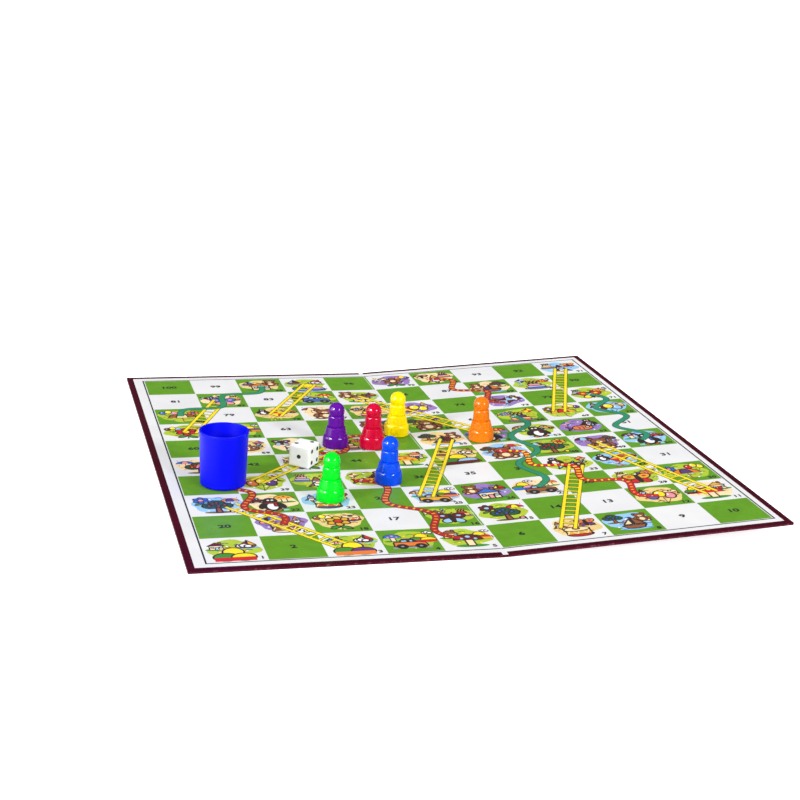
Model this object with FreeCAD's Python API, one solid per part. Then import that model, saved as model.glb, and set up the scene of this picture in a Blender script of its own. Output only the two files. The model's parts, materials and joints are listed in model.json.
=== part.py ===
"""Folding snakes and ladders board, set out with its pawns, die and shaker cup.

The board is two stiff leaves. Each leaf is a core of grey board in a maroon cover
that wraps its back and three edges, and is turned in over the face all round. The
printed playing sheet is laid on the face inside that turned-in border. The sheet's
crease between the leaves is the hinge, so the fold axis lies on the playing face.
The left leaf lies flat, and the crease keeps the right leaf's outer side a little up.

Frame: +X towards the right leaf, +Y towards the far side, +Z up. The origin is on
the surface that the board lies on, under the middle of the fold. Lengths are in mm.
"""

import FreeCAD, Part
import math
import os

# Playing field: squares along a side, one square, and the plain margin round them
SQUARE_COUNT = 10
SQUARE = 33.9
WHITE_MARGIN = 6.1

# Board: cover border on the face, paper and core thicknesses, corner rounding
TURN_IN = 4.4
CORE_THICK = 1.2
COVER_THICK = 0.2
SHEET_THICK = 0.2
CORNER_R = 1.0

# Fold: gap between the leaves when flat, notch in the border, and the lift at rest
FOLD_GAP = 0.1
NOTCH_WIDTH = 3.3
REST_LIFT_DEG = 3.5

# Playing pieces stand this far above the sheet, and this far from the fold
SEAT_GAP = 0.2
FOLD_CLEARANCE = 0.5

# Pawn: a stack of three tiers with a ball-shaped head
PAWN_HEIGHT = 30.2
PAWN_FOOT_R = 8.65
PAWN_HEAD_R = 5.3
PAWN_NECK_R = 4.4
PAWN_FOOT_EDGE = 0.5
TIER_TOP_SHARES = (0.265, 0.455, 0.715)
TIER_FOOT_R_SHARES = (1.0, 0.86, 0.65)
TIER_SHOULDER_R_SHARES = (0.985, 0.735, 0.62)
TIER_WAIST_R_SHARES = (0.85, 0.58)
SHOULDER_HEIGHT_SHARES = (0.425, 0.12, 0.22)
TIER_STEP_SHARES = (0.0, 0.04, 0.12)

# Die: a rounded cube with a shallow round dimple for each pip
DIE_SIDE = 15.0
DIE_EDGE_R = 1.7
PIP_R = 1.45
PIP_DEPTH = 0.55
PIP_OFFSET_SHARE = 0.25
DIE_TURN_DEG = -38.0

# Shaker cup: a tapered wall with a small rim outside its mouth
CUP_HEIGHT = 35.0
CUP_MOUTH_R = 15.05
CUP_FOOT_R = 14.2
CUP_RIM_OVERHANG = 0.3
CUP_RIM_HEIGHT = 1.6
CUP_WALL = 1.1
CUP_FLOOR = 1.4
CUP_FOOT_EDGE = 1.5

# Where each piece stands, as shares of the field's width and depth from its front left
PAWN_PLACE_SHARES = {
    "green_pawn": (0.261, 0.253),
    "blue_pawn": (0.388, 0.329),
    "purple_pawn": (0.333, 0.539),
    "red_pawn": (0.405, 0.527),
    "orange_pawn": (0.632, 0.527),
}
YELLOW_PAWN_DEPTH_SHARE = 0.598
CUP_PLACE_SHARES = (0.082, 0.352)
DIE_PLACE_SHARES = (0.249, 0.437)

# Worked out from the sizes above
FIELD = SQUARE_COUNT * SQUARE
SHEET_HALF = FIELD / 2 + WHITE_MARGIN
BOARD_HALF = SHEET_HALF + TURN_IN
BOARD_THICK = COVER_THICK + CORE_THICK + SHEET_THICK
WRAP_R = 2 * COVER_THICK
FOLD_FACE = FOLD_GAP / 2
SEAT_HEIGHT = BOARD_THICK + SEAT_GAP

FOLD_POINT = FreeCAD.Vector(0, 0, BOARD_THICK)
FOLD_AXIS = FreeCAD.Vector(0, -1, 0)
UP = FreeCAD.Vector(0, 0, 1)
HALF_TURN_SHARE = math.sqrt(0.5)


def slab(x_end, y_half, z_low, z_high, corner_r=0):
    """Plate from the fold face out to x_end, with its two outer corners rounded."""
    size = (x_end - FOLD_FACE, 2 * y_half, z_high - z_low)
    plate = Part.makeBox(*size, FreeCAD.Vector(FOLD_FACE, -y_half, z_low))
    if corner_r > 0:
        outer = [
            edge for edge in plate.Edges
            if all(math.isclose(v.X, x_end) for v in edge.Vertexes)
            and not math.isclose(edge.Vertexes[0].Z, edge.Vertexes[1].Z)
        ]
        plate = plate.makeFillet(corner_r, outer)
    return plate


def wrapped(plate):
    """The plate with its rims rounded, but not at the fold, as paper wraps round them."""
    rims = [
        edge for edge in plate.Edges
        if math.isclose(edge.Vertexes[0].Z, edge.Vertexes[-1].Z, abs_tol=COVER_THICK / 2)
        and any(v.X > FOLD_FACE + WRAP_R for v in edge.Vertexes)
    ]
    return plate.makeFillet(WRAP_R, rims)


def leaf_pieces():
    """Core, cover and playing sheet of the right leaf, lying flat."""
    core_top = COVER_THICK + CORE_THICK
    core_reach = BOARD_HALF - COVER_THICK
    core = slab(core_reach, core_reach, COVER_THICK, core_top, CORNER_R - COVER_THICK)
    sheet = slab(SHEET_HALF, SHEET_HALF, core_top, BOARD_THICK)
    notch_tab = slab(NOTCH_WIDTH / 2, BOARD_HALF - WRAP_R, core_top, BOARD_THICK)
    sheet = sheet.fuse(notch_tab).removeSplitter()
    outside = wrapped(slab(BOARD_HALF, BOARD_HALF, 0, BOARD_THICK, CORNER_R))
    cover = outside.cut(core).cut(sheet)
    return {"core_board": core, "cover": cover, "playing_sheet": sheet}


def mirrored(shape):
    """The same piece on the other side of the fold."""
    return shape.mirror(FreeCAD.Vector(0, 0, 0), FreeCAD.Vector(1, 0, 0))


def raised(shape):
    """The piece turned up about the fold by the lift that the crease holds."""
    turned = shape.copy()
    turned.rotate(FOLD_POINT, FOLD_AXIS, REST_LIFT_DEG)
    return turned


def revolved(edges):
    """Solid of revolution about Z from the edges of a closed outline in XZ."""
    face = Part.Face(Part.Wire(edges))
    return face.revolve(FreeCAD.Vector(0, 0, 0), UP, 360)


def line(start, end):
    """Straight outline edge between two (radius, height) points."""
    return Part.makeLine(FreeCAD.Vector(start[0], 0, start[1]), FreeCAD.Vector(end[0], 0, end[1]))


def arc(start, middle, end):
    """Round outline edge through three (radius, height) points."""
    points = [FreeCAD.Vector(r, 0, z) for r, z in (start, middle, end)]
    return Part.Arc(*points).toShape()


def shoulder_arc(start, end):
    """Rounding from an upright side at its start in to a level top at its end."""
    middle = (
        end[0] + (start[0] - end[0]) * HALF_TURN_SHARE,
        start[1] + (end[1] - start[1]) * HALF_TURN_SHARE,
    )
    return arc(start, middle, end)


def cheek_arc(start, end):
    """Swelling from a level neck at its start up to an upright side at its end."""
    middle = (
        start[0] + (end[0] - start[0]) * HALF_TURN_SHARE,
        end[1] - (end[1] - start[1]) * HALF_TURN_SHARE,
    )
    return arc(start, middle, end)


def foot_arc(foot_r, edge):
    """Small rounding from a level underside out to an upright side."""
    inset = edge * (1 - HALF_TURN_SHARE)
    return arc((foot_r - edge, 0), (foot_r - inset, inset), (foot_r, edge))


def pawn():
    """Pawn standing on the origin: foot, two narrower tiers and a ball head."""
    here = (PAWN_FOOT_R, PAWN_FOOT_EDGE)
    edges = [line((0, 0), (PAWN_FOOT_R - PAWN_FOOT_EDGE, 0)), foot_arc(PAWN_FOOT_R, PAWN_FOOT_EDGE)]
    waists = [share * PAWN_FOOT_R for share in TIER_WAIST_R_SHARES] + [PAWN_NECK_R]
    tiers = zip(
        TIER_TOP_SHARES, TIER_FOOT_R_SHARES, TIER_STEP_SHARES, TIER_SHOULDER_R_SHARES, SHOULDER_HEIGHT_SHARES, waists
    )
    low = 0
    for top_share, foot_share, step_share, shoulder_share, round_share, waist in tiers:
        top = top_share * PAWN_HEIGHT
        height = top - low
        if low > 0:
            step = (foot_share * PAWN_FOOT_R, low + step_share * height)
            edges.append(line(here, step))
            here = step
        shoulder = (shoulder_share * PAWN_FOOT_R, top - round_share * height)
        edges.append(line(here, shoulder))
        here = (waist, top)
        edges.append(shoulder_arc(shoulder, here))
        low = top
    widest = (PAWN_HEAD_R, PAWN_HEIGHT - PAWN_HEAD_R)
    edges.append(cheek_arc(here, widest))
    edges.append(shoulder_arc(widest, (0, PAWN_HEIGHT)))
    edges.append(line((0, PAWN_HEIGHT), (0, 0)))
    return revolved(edges)


def pip_places(count):
    """Places of a face's pips, in pip offsets from its middle."""
    corners = [(-1, -1), (1, 1), (-1, 1), (1, -1)]
    places = corners[: count - count % 2]
    if count == 6:
        places = corners + [(-1, 0), (1, 0)]
    if count % 2:
        places = places + [(0, 0)]
    return places


def die():
    """Die standing on the origin: opposite faces add to seven, one to the front."""
    half = DIE_SIDE / 2
    cube = Part.makeBox(DIE_SIDE, DIE_SIDE, DIE_SIDE, FreeCAD.Vector(-half, -half, 0))
    cube = cube.makeFillet(DIE_EDGE_R, cube.Edges)
    middle = FreeCAD.Vector(0, 0, half)
    x, y = FreeCAD.Vector(1, 0, 0), FreeCAD.Vector(0, 1, 0)
    faces = ((1, -y, x, UP), (6, y, x, UP), (4, x, y, UP), (3, -x, y, UP), (2, UP, x, y), (5, -UP, x, y))
    ball_r = (PIP_R ** 2 + PIP_DEPTH ** 2) / (2 * PIP_DEPTH)
    offset = PIP_OFFSET_SHARE * DIE_SIDE
    for count, outward, across, along in faces:
        face_middle = middle + outward * (half + ball_r - PIP_DEPTH)
        for a, b in pip_places(count):
            centre = face_middle + across * (a * offset) + along * (b * offset)
            cube = cube.cut(Part.makeSphere(ball_r, centre))
    return cube


def cup():
    """Shaker cup standing on the origin, open at the top."""
    def outer_r(height):
        """Radius of the tapered outside at a height."""
        return CUP_FOOT_R + (CUP_MOUTH_R - CUP_FOOT_R) * height / CUP_HEIGHT

    rim_r = CUP_MOUTH_R + CUP_RIM_OVERHANG
    rim_low = CUP_HEIGHT - CUP_RIM_HEIGHT
    side_low = (CUP_FOOT_R, CUP_FOOT_EDGE)
    inside_foot = (outer_r(CUP_FLOOR) - CUP_WALL, CUP_FLOOR)
    inside_mouth = (CUP_MOUTH_R - CUP_WALL, CUP_HEIGHT)
    edges = [
        line((0, 0), (CUP_FOOT_R - CUP_FOOT_EDGE, 0)),
        foot_arc(CUP_FOOT_R, CUP_FOOT_EDGE),
        line(side_low, (outer_r(rim_low), rim_low)),
        line((outer_r(rim_low), rim_low), (rim_r, rim_low)),
        line((rim_r, rim_low), (rim_r, CUP_HEIGHT)),
        line((rim_r, CUP_HEIGHT), inside_mouth),
        line(inside_mouth, inside_foot),
        line(inside_foot, (0, CUP_FLOOR)),
        line((0, CUP_FLOOR), (0, 0)),
    ]
    return revolved(edges)


def field_point(shares):
    """Place on the playing face of a pair of shares of the field."""
    return FreeCAD.Vector((shares[0] - 0.5) * FIELD, (shares[1] - 0.5) * FIELD, SEAT_HEIGHT)


def standing(shape, place, turn_deg=0):
    """The piece turned about its own upright and stood on a place of the sheet."""
    piece = shape.copy()
    piece.rotate(FreeCAD.Vector(0, 0, 0), UP, turn_deg)
    piece.translate(place)
    return piece


def playing_pieces():
    """Every playing piece on its place, the orange pawn on the raised leaf."""
    places = {name: field_point(shares) for name, shares in PAWN_PLACE_SHARES.items()}
    beside_fold = field_point((0.5, YELLOW_PAWN_DEPTH_SHARE))
    beside_fold.x = -(PAWN_FOOT_R + FOLD_CLEARANCE)
    places["yellow_pawn"] = beside_fold
    pieces = {name: standing(pawn(), place) for name, place in places.items()}
    pieces["orange_pawn"] = raised(pieces["orange_pawn"])
    pieces["die"] = standing(die(), field_point(DIE_PLACE_SHARES), DIE_TURN_DEG)
    pieces["shaker_cup"] = standing(cup(), field_point(CUP_PLACE_SHARES))
    return pieces


def board():
    """Both leaves: the left one flat, the right one raised by the crease."""
    pieces = {}
    for name, shape in leaf_pieces().items():
        pieces["left_" + name] = mirrored(shape)
        pieces["right_" + name] = raised(shape)
    return pieces


os.makedirs("parts", exist_ok=True)
for node, solid in {**board(), **playing_pieces()}.items():
    assert solid.isValid() and len(solid.Solids) == 1, node
    solid.Solids[0].exportStep("parts/" + node + ".step")
    box = solid.BoundBox
    print(f"{node:22s} {solid.Volume:10.1f} mm3  top {box.ZMax:6.2f}  low {box.ZMin:6.3f}")
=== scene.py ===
"""Looks of a folding snakes and ladders board, set out with its pawns, die and shaker cup.

The board's leaves, cover and playing pieces come from the frame. This script gives each
of them its finish, and adds the print on the playing face: the numbered squares, the
ladders, the snakes and the small pictures. Everything is in metres in the frame's axes.
"""

from __future__ import annotations

import json
import logging
import math
from dataclasses import dataclass
from enum import Enum

import bmesh
import bpy
from mathutils import Matrix, Vector

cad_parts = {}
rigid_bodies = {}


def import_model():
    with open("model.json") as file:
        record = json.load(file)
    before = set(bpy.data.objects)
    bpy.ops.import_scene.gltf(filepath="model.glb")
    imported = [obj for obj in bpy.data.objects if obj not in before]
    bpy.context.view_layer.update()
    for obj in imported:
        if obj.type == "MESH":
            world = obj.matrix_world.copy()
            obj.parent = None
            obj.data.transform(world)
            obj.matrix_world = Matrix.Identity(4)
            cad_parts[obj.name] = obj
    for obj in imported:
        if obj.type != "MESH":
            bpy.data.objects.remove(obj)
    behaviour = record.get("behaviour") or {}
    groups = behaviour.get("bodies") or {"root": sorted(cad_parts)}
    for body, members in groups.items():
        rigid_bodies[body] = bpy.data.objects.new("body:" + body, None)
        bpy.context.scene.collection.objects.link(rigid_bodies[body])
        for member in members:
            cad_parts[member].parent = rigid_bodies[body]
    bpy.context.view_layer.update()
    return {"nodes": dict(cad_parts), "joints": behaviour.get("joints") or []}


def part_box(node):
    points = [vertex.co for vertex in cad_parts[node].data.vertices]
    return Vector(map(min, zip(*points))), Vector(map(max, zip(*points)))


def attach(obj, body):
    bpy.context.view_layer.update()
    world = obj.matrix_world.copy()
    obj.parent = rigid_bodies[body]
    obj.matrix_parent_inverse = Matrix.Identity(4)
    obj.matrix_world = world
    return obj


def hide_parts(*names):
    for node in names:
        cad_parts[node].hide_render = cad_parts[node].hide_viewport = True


logging.basicConfig(level=logging.INFO, format="%(message)s")
LOG = logging.getLogger("board")

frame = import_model()

Point = tuple[float, float]
Point3 = tuple[float, float, float]
Colour = tuple[int, int, int]
Socket = bpy.types.NodeSocket
Material = bpy.types.Material
Mesh = bpy.types.Mesh

MM = 0.001
SIDES = (-1, 1)
# Points closer than this are one
TOUCHING = 0.001 * MM
# The part of a noise or cell value over which a pattern fades in
CORE = (0.3, 0.7)
UPPER = (0.35, 0.75)
TIPS = (0.56, 0.70)


def linear(red: int, green: int, blue: int) -> tuple[float, float, float, float]:
    """Turn a printed colour, 0 to 255 a channel, into linear light.

    Args:
        red: Red channel.
        green: Green channel.
        blue: Blue channel.

    Returns:
        The colour as linear red, green, blue and alpha.
    """
    def channel(value: int) -> float:
        """Undo the display curve of one channel."""
        share = value / 255
        return share / 12.92 if share <= 0.04045 else ((share + 0.055) / 1.055) ** 2.4

    return (channel(red), channel(green), channel(blue), 1.0)


def outward(azimuth: float, elevation: float) -> Vector:
    """Unit vector from the board, by its angles in radians round from the front and up."""
    flat = math.cos(elevation)
    return Vector((math.sin(azimuth) * flat, -math.cos(azimuth) * flat, math.sin(elevation)))


def extent(points: list[Vector]) -> tuple[Vector, Vector]:
    """Lowest and highest corner of the box round some points."""
    low, high = (Vector([pick(point[k] for point in points) for k in range(3)]) for pick in (min, max))
    return low, high


def placed(name: str, data: bpy.types.ID) -> bpy.types.Object:
    """Make an object and link it into the scene.

    Args:
        name: Its name.
        data: Its mesh, curve, light or camera.

    Returns:
        The object.
    """
    item = bpy.data.objects.new(name, data)
    bpy.context.collection.objects.link(item)
    return item


def evaluated(item: bpy.types.Object) -> Mesh:
    """Take the plain mesh that an object ends as, and delete the object.

    Args:
        item: The object, with its modifiers.

    Returns:
        The mesh.
    """
    bpy.context.view_layer.update()
    graph = bpy.context.evaluated_depsgraph_get()
    mesh = bpy.data.meshes.new_from_object(item.evaluated_get(graph), depsgraph=graph)
    item.modifiers.clear()
    bpy.data.objects.remove(item)
    return mesh


class Ink(Enum):
    """The inks that the playing sheet is printed with."""

    GREEN = (92, 152, 4)
    BLACK = (22, 22, 26)
    OUTLINE = (44, 26, 24)
    GREY = (150, 148, 156)
    WHITE = (246, 244, 250)
    YELLOW = (252, 226, 8)
    OLIVE = (104, 96, 8)
    GOLD = (232, 168, 38)
    RED = (206, 20, 26)
    BRICK = (178, 26, 22)
    MAROON = (96, 14, 28)
    TEAL = (34, 140, 104)
    PINE = (18, 84, 62)
    LAVENDER = (150, 120, 190)
    PURPLE = (92, 50, 124)
    BLUE = (40, 104, 204)
    SKY = (150, 200, 236)
    ORANGE = (232, 122, 40)
    BROWN = (150, 84, 42)
    PINK = (238, 150, 160)
    CREAM = (248, 222, 176)
    LEAF = (56, 140, 44)
    LIME = (176, 200, 44)
    SAND = (236, 208, 136)


class Leaf(Enum):
    """The two leaves of the board, named by the frame's bodies."""

    LEFT = "left_leaf"
    RIGHT = "right_leaf"

    @property
    def side(self) -> int:
        """Which way the leaf lies from the fold: -1 left, 1 right."""
        return -1 if self is Leaf.LEFT else 1

    @property
    def prefix(self) -> str:
        """First word of the leaf's piece names."""
        return self.name.lower()


class NodeBoard:
    """A node tree being wired, for a material or for geometry."""

    def __init__(self, tree: bpy.types.NodeTree) -> None:
        """Start on an emptied tree."""
        self.tree = tree
        tree.nodes.clear()

    def add(self, kind: str, inputs: dict | None = None, **settings: object) -> bpy.types.Node:
        """Add one node, with its settings and inputs.

        Args:
            kind: The node's type name.
            inputs: Input by name or index: a value, or an output socket to link from.
            **settings: Properties set on the node before its inputs.

        Returns:
            The new node.
        """
        node = self.tree.nodes.new(kind)
        for name, value in settings.items():
            setattr(node, name, value)
        for key, value in (inputs or {}).items():
            if isinstance(value, Socket):
                self.tree.links.new(value, node.inputs[key])
            else:
                node.inputs[key].default_value = value
        return node

    def maths(self, operation: str, a: object, b: object = 0.0) -> Socket:
        """Result of one Math node on two values or sockets."""
        return self.add("ShaderNodeMath", {0: a, 1: b}, operation=operation).outputs[0]


class Shader(NodeBoard):
    """Nodes of one surface finish, ending in a Principled shader."""

    def __init__(self, name: str) -> None:
        """Make the material, and read each piece's own coordinates.

        Args:
            name: The material's name.
        """
        self.material = bpy.data.materials.new(name)
        self.material.use_nodes = True
        super().__init__(self.material.node_tree)
        self.place = self.add("ShaderNodeTexCoord").outputs["Object"]

    def noise(self, size: float, detail: float = 3.0, stretch: Point3 | None = None) -> Socket:
        """Soft noise over the piece.

        Args:
            size: Size of one patch, in metres.
            detail: Octaves of finer noise.
            stretch: Scale along X, Y and Z, for a pattern with a grain.

        Returns:
            The noise value, 0 to 1.
        """
        place = self.place
        if stretch:
            place = self.add("ShaderNodeMapping", {"Vector": place, "Scale": stretch}).outputs[0]
        node = self.add("ShaderNodeTexNoise", {"Vector": place, "Scale": 1 / size, "Detail": detail})
        return node.outputs["Fac"]

    def cells(self, size: float, feature: str = "F1") -> Socket:
        """Distances in a pattern of cells of one size, in metres."""
        given = {"Vector": self.place, "Scale": 1 / size}
        return self.add("ShaderNodeTexVoronoi", given, feature=feature).outputs["Distance"]

    def span(self, value: Socket, low: float, high: float, source: Point = (0.0, 1.0)) -> Socket:
        """Value mapped from its source range to one from low to high, and held inside it."""
        given = {"Value": value, "From Min": source[0], "From Max": source[1], "To Min": low, "To Max": high}
        return self.add("ShaderNodeMapRange", given).outputs["Result"]

    def blend(self, share: object, a: object, b: object) -> Socket:
        """Mix of two colours, with a share of the second."""
        return self.add("ShaderNodeMix", {0: share, 6: a, 7: b}, data_type="RGBA").outputs[2]

    def patches(self, under: object, over: object, size: float, share: float = 1.0,
                detail: float = 3.0, stretch: Point3 | None = None, source: Point = CORE) -> Socket:
        """Colour with soft patches of a second one.

        Args:
            under: First colour.
            over: Second colour.
            size: Size of one patch, in metres.
            share: How much of the second colour a patch shows.
            detail: Octaves of finer noise.
            stretch: Scale along X, Y and Z.
            source: The noise values over which a patch fades in.

        Returns:
            The mixed colour.
        """
        return self.blend(self.span(self.noise(size, detail, stretch), 0.0, share, source), under, over)

    def finish(self, heights: list[tuple[Socket, float]], **sockets: object) -> Material:
        """Wire the Principled shader and the output.

        Args:
            heights: Relief values, each with its depth in metres.
            **sockets: Principled inputs by name, with underscores for spaces.

        Returns:
            The finished material.
        """
        given = {name.replace("_", " "): value for name, value in sockets.items()}
        for height, depth in heights:
            bump = {"Height": height, "Distance": depth, "Strength": 1.0}
            if "Normal" in given:
                bump["Normal"] = given["Normal"]
            given["Normal"] = self.add("ShaderNodeBump", bump).outputs[0]
        surface = self.add("ShaderNodeBsdfPrincipled", given)
        self.add("ShaderNodeOutputMaterial", {"Surface": surface.outputs[0]})
        return self.material


@dataclass(frozen=True)
class PrintedInk:
    """Ink film under a thin gloss laminate, coloured by each element's own ink."""

    name: str = "printed_ink"
    attribute: str = "ink"
    dot: float = 0.17 * MM
    dot_share: float = 0.03
    dot_edge: Point = (0.1, 0.6)
    paper: Colour = (250, 250, 240)
    mottle: float = 9 * MM
    mottle_share: float = 0.12
    dark: tuple[float, ...] = (0.01, 0.01, 0.01, 1)
    gloss: Point = (0.26, 0.40)
    shine: float = 0.06
    peel: float = 1.1 * MM
    peel_depth: float = 0.005 * MM

    def build(self) -> Material:
        """Make the material.

        Returns:
            The ink material.
        """
        shader = Shader(self.name)
        ink = shader.add("ShaderNodeAttribute", attribute_name=self.attribute).outputs["Color"]
        dots = shader.span(shader.cells(self.dot), 0.0, self.dot_share, self.dot_edge)
        printed = shader.blend(dots, ink, linear(*self.paper))
        printed = shader.patches(printed, self.dark, self.mottle, self.mottle_share)
        gloss = shader.span(shader.noise(self.mottle), *self.gloss, CORE)
        relief = [(shader.noise(self.peel, detail=2.0), self.peel_depth)]
        return shader.finish(relief, Base_Color=printed, Roughness=gloss, Specular_IOR_Level=self.shine)


@dataclass(frozen=True)
class LaminatedPaper:
    """White coated paper of the playing sheet."""

    name: str = "laminated_paper"
    tint: Colour = (229, 229, 230)
    shade: Colour = (219, 219, 222)
    fleck: Colour = (200, 196, 190)
    fleck_share: float = 0.05
    fleck_edge: Point = (0.4, 0.8)
    cloud: float = 34 * MM
    fibre: float = 0.5 * MM
    fibre_depth: float = 0.006 * MM
    fibre_stretch: Point3 = (1.0, 0.35, 1.0)
    gloss: Point = (0.30, 0.42)
    shine: float = 0.1

    def build(self) -> Material:
        """Make the material.

        Returns:
            The paper material.
        """
        shader = Shader(self.name)
        colour = shader.patches(linear(*self.tint), linear(*self.shade), self.cloud, source=UPPER)
        colour = shader.patches(colour, linear(*self.fleck), self.fibre, self.fleck_share, detail=4.0,
                                stretch=self.fibre_stretch, source=self.fleck_edge)
        gloss = shader.span(shader.noise(self.cloud / 3), *self.gloss, CORE)
        relief = [(shader.noise(self.fibre * 2), self.fibre_depth)]
        return shader.finish(relief, Base_Color=colour, Roughness=gloss, Specular_IOR_Level=self.shine)


@dataclass(frozen=True)
class GrainedCover:
    """Maroon cover paper with a fine leather grain, rubbed pale at the board's edges."""

    board_half: float
    name: str = "grained_cover"
    tint: Colour = (74, 0, 26)
    deep: Colour = (52, 0, 18)
    patch: float = 30 * MM
    patch_share: float = 0.6
    grain: float = 0.75 * MM
    grain_depth: float = 0.05 * MM
    valley: Point = (0.35, 0.7)
    valley_share: float = 0.55
    tooth: float = 0.2 * MM
    tooth_depth: float = 0.01 * MM
    rubbed: Colour = (150, 96, 108)
    rubbed_share: float = 0.35
    rub: float = 3 * MM
    edge: float = 0.5 * MM
    seam: float = 0.12 * MM
    seam_share: float = 0.6
    gloss: Point = (0.26, 0.42)
    gloss_edge: Point = (0.2, 0.7)
    shine: float = 0.12

    def build(self) -> Material:
        """Make the material.

        Returns:
            The cover material.
        """
        shader, deep = Shader(self.name), linear(*self.deep)
        apart = shader.add("ShaderNodeSeparateXYZ", {0: shader.place})
        across = shader.maths("ABSOLUTE", apart.outputs[0])
        along = shader.maths("ABSOLUTE", apart.outputs[1])
        grain = shader.cells(self.grain, "SMOOTH_F1")
        colour = shader.patches(linear(*self.tint), deep, self.patch, self.patch_share)
        colour = shader.blend(shader.span(grain, 0.0, self.valley_share, self.valley), colour, deep)
        outermost = shader.maths("MAXIMUM", across, along)
        edge = shader.span(outermost, 0.0, 1.0, (self.board_half - self.edge, self.board_half))
        broken = shader.span(shader.noise(self.rub, detail=5.0), 0.0, 1.0, TIPS)
        wear = shader.maths("MULTIPLY", shader.maths("MULTIPLY", edge, broken), self.rubbed_share)
        colour = shader.blend(wear, colour, linear(*self.rubbed))
        slant = shader.maths("ABSOLUTE", shader.maths("SUBTRACT", across, along))
        seam = shader.span(slant, 1.0, 0.0, (0.0, self.seam))
        colour = shader.blend(shader.maths("MULTIPLY", seam, self.seam_share), colour, deep)
        gloss = shader.span(grain, *self.gloss, self.gloss_edge)
        relief = [(shader.maths("SUBTRACT", 1.0, grain), self.grain_depth),
                  (shader.noise(self.tooth, detail=2.0), self.tooth_depth)]
        return shader.finish(relief, Base_Color=colour, Roughness=gloss, Specular_IOR_Level=self.shine)


@dataclass(frozen=True)
class GreyBoard:
    """Recycled grey board, seen at the faces of the fold."""

    name: str = "grey_board"
    tint: Colour = (158, 150, 138)
    fleck: Colour = (104, 98, 92)
    fleck_edge: Point = (0.4, 0.7)
    fibre: float = 1.2 * MM
    fibre_stretch: Point3 = (1.0, 0.25, 3.0)
    fibre_depth: float = 0.08 * MM
    roughness: float = 0.9

    def build(self) -> Material:
        """Make the material.

        Returns:
            The board material.
        """
        shader = Shader(self.name)
        fibres = shader.noise(self.fibre, detail=6.0, stretch=self.fibre_stretch)
        flecks = shader.span(fibres, 0.0, 1.0, self.fleck_edge)
        colour = shader.blend(flecks, linear(*self.tint), linear(*self.fleck))
        return shader.finish([(fibres, self.fibre_depth)], Base_Color=colour, Roughness=self.roughness)


@dataclass(frozen=True)
class MouldedPlastic:
    """Glossy moulded plastic, with faint flow marks and handling scuffs."""

    name: str
    tint: Colour
    deep: Colour
    glow: float = 0.0
    glow_reach: float = 1.2 * MM
    glow_tint: Point3 = (0.6, 0.6, 0.6)
    roughness: float = 0.15
    scuffed: float = 0.08
    shine: float = 0.2
    flow: float = 9 * MM
    flow_share: float = 0.4
    flow_stretch: Point3 = (1.0, 1.0, 0.4)
    scuff: float = 2.2 * MM
    waves: tuple[Point, ...] = ((2.4 * MM, 0.004 * MM), (0.4 * MM, 0.0006 * MM))

    def build(self) -> Material:
        """Make the material.

        Returns:
            The plastic material.
        """
        shader = Shader(self.name)
        colour = shader.patches(linear(*self.tint), linear(*self.deep), self.flow, self.flow_share,
                                stretch=self.flow_stretch, source=UPPER)
        scuffs = shader.span(shader.noise(self.scuff, detail=6.0), 0.0, 1.0, TIPS)
        gloss = shader.span(scuffs, self.roughness, self.roughness + self.scuffed)
        return shader.finish(
            [(shader.noise(size, detail=2.0), depth) for size, depth in self.waves],
            Base_Color=colour, Roughness=gloss, Subsurface_Weight=self.glow, Specular_IOR_Level=self.shine,
            Subsurface_Radius=self.glow_tint, Subsurface_Scale=self.glow_reach,
        )


@dataclass(frozen=True)
class PipPaint:
    """Black enamel filled into the die's dimples."""

    name: str = "pip_paint"
    tint: Colour = (16, 16, 18)
    worn: Colour = (34, 33, 36)
    pool: float = 0.8 * MM
    brush: float = 0.5 * MM
    brush_depth: float = 0.01 * MM
    gloss: float = 0.3

    def build(self) -> Material:
        """Make the material.

        Returns:
            The paint material.
        """
        shader = Shader(self.name)
        colour = shader.patches(linear(*self.tint), linear(*self.worn), self.pool)
        relief = [(shader.noise(self.brush, detail=2.0), self.brush_depth)]
        return shader.finish(relief, Base_Color=colour, Roughness=self.gloss, Coat_Weight=self.gloss)


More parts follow.
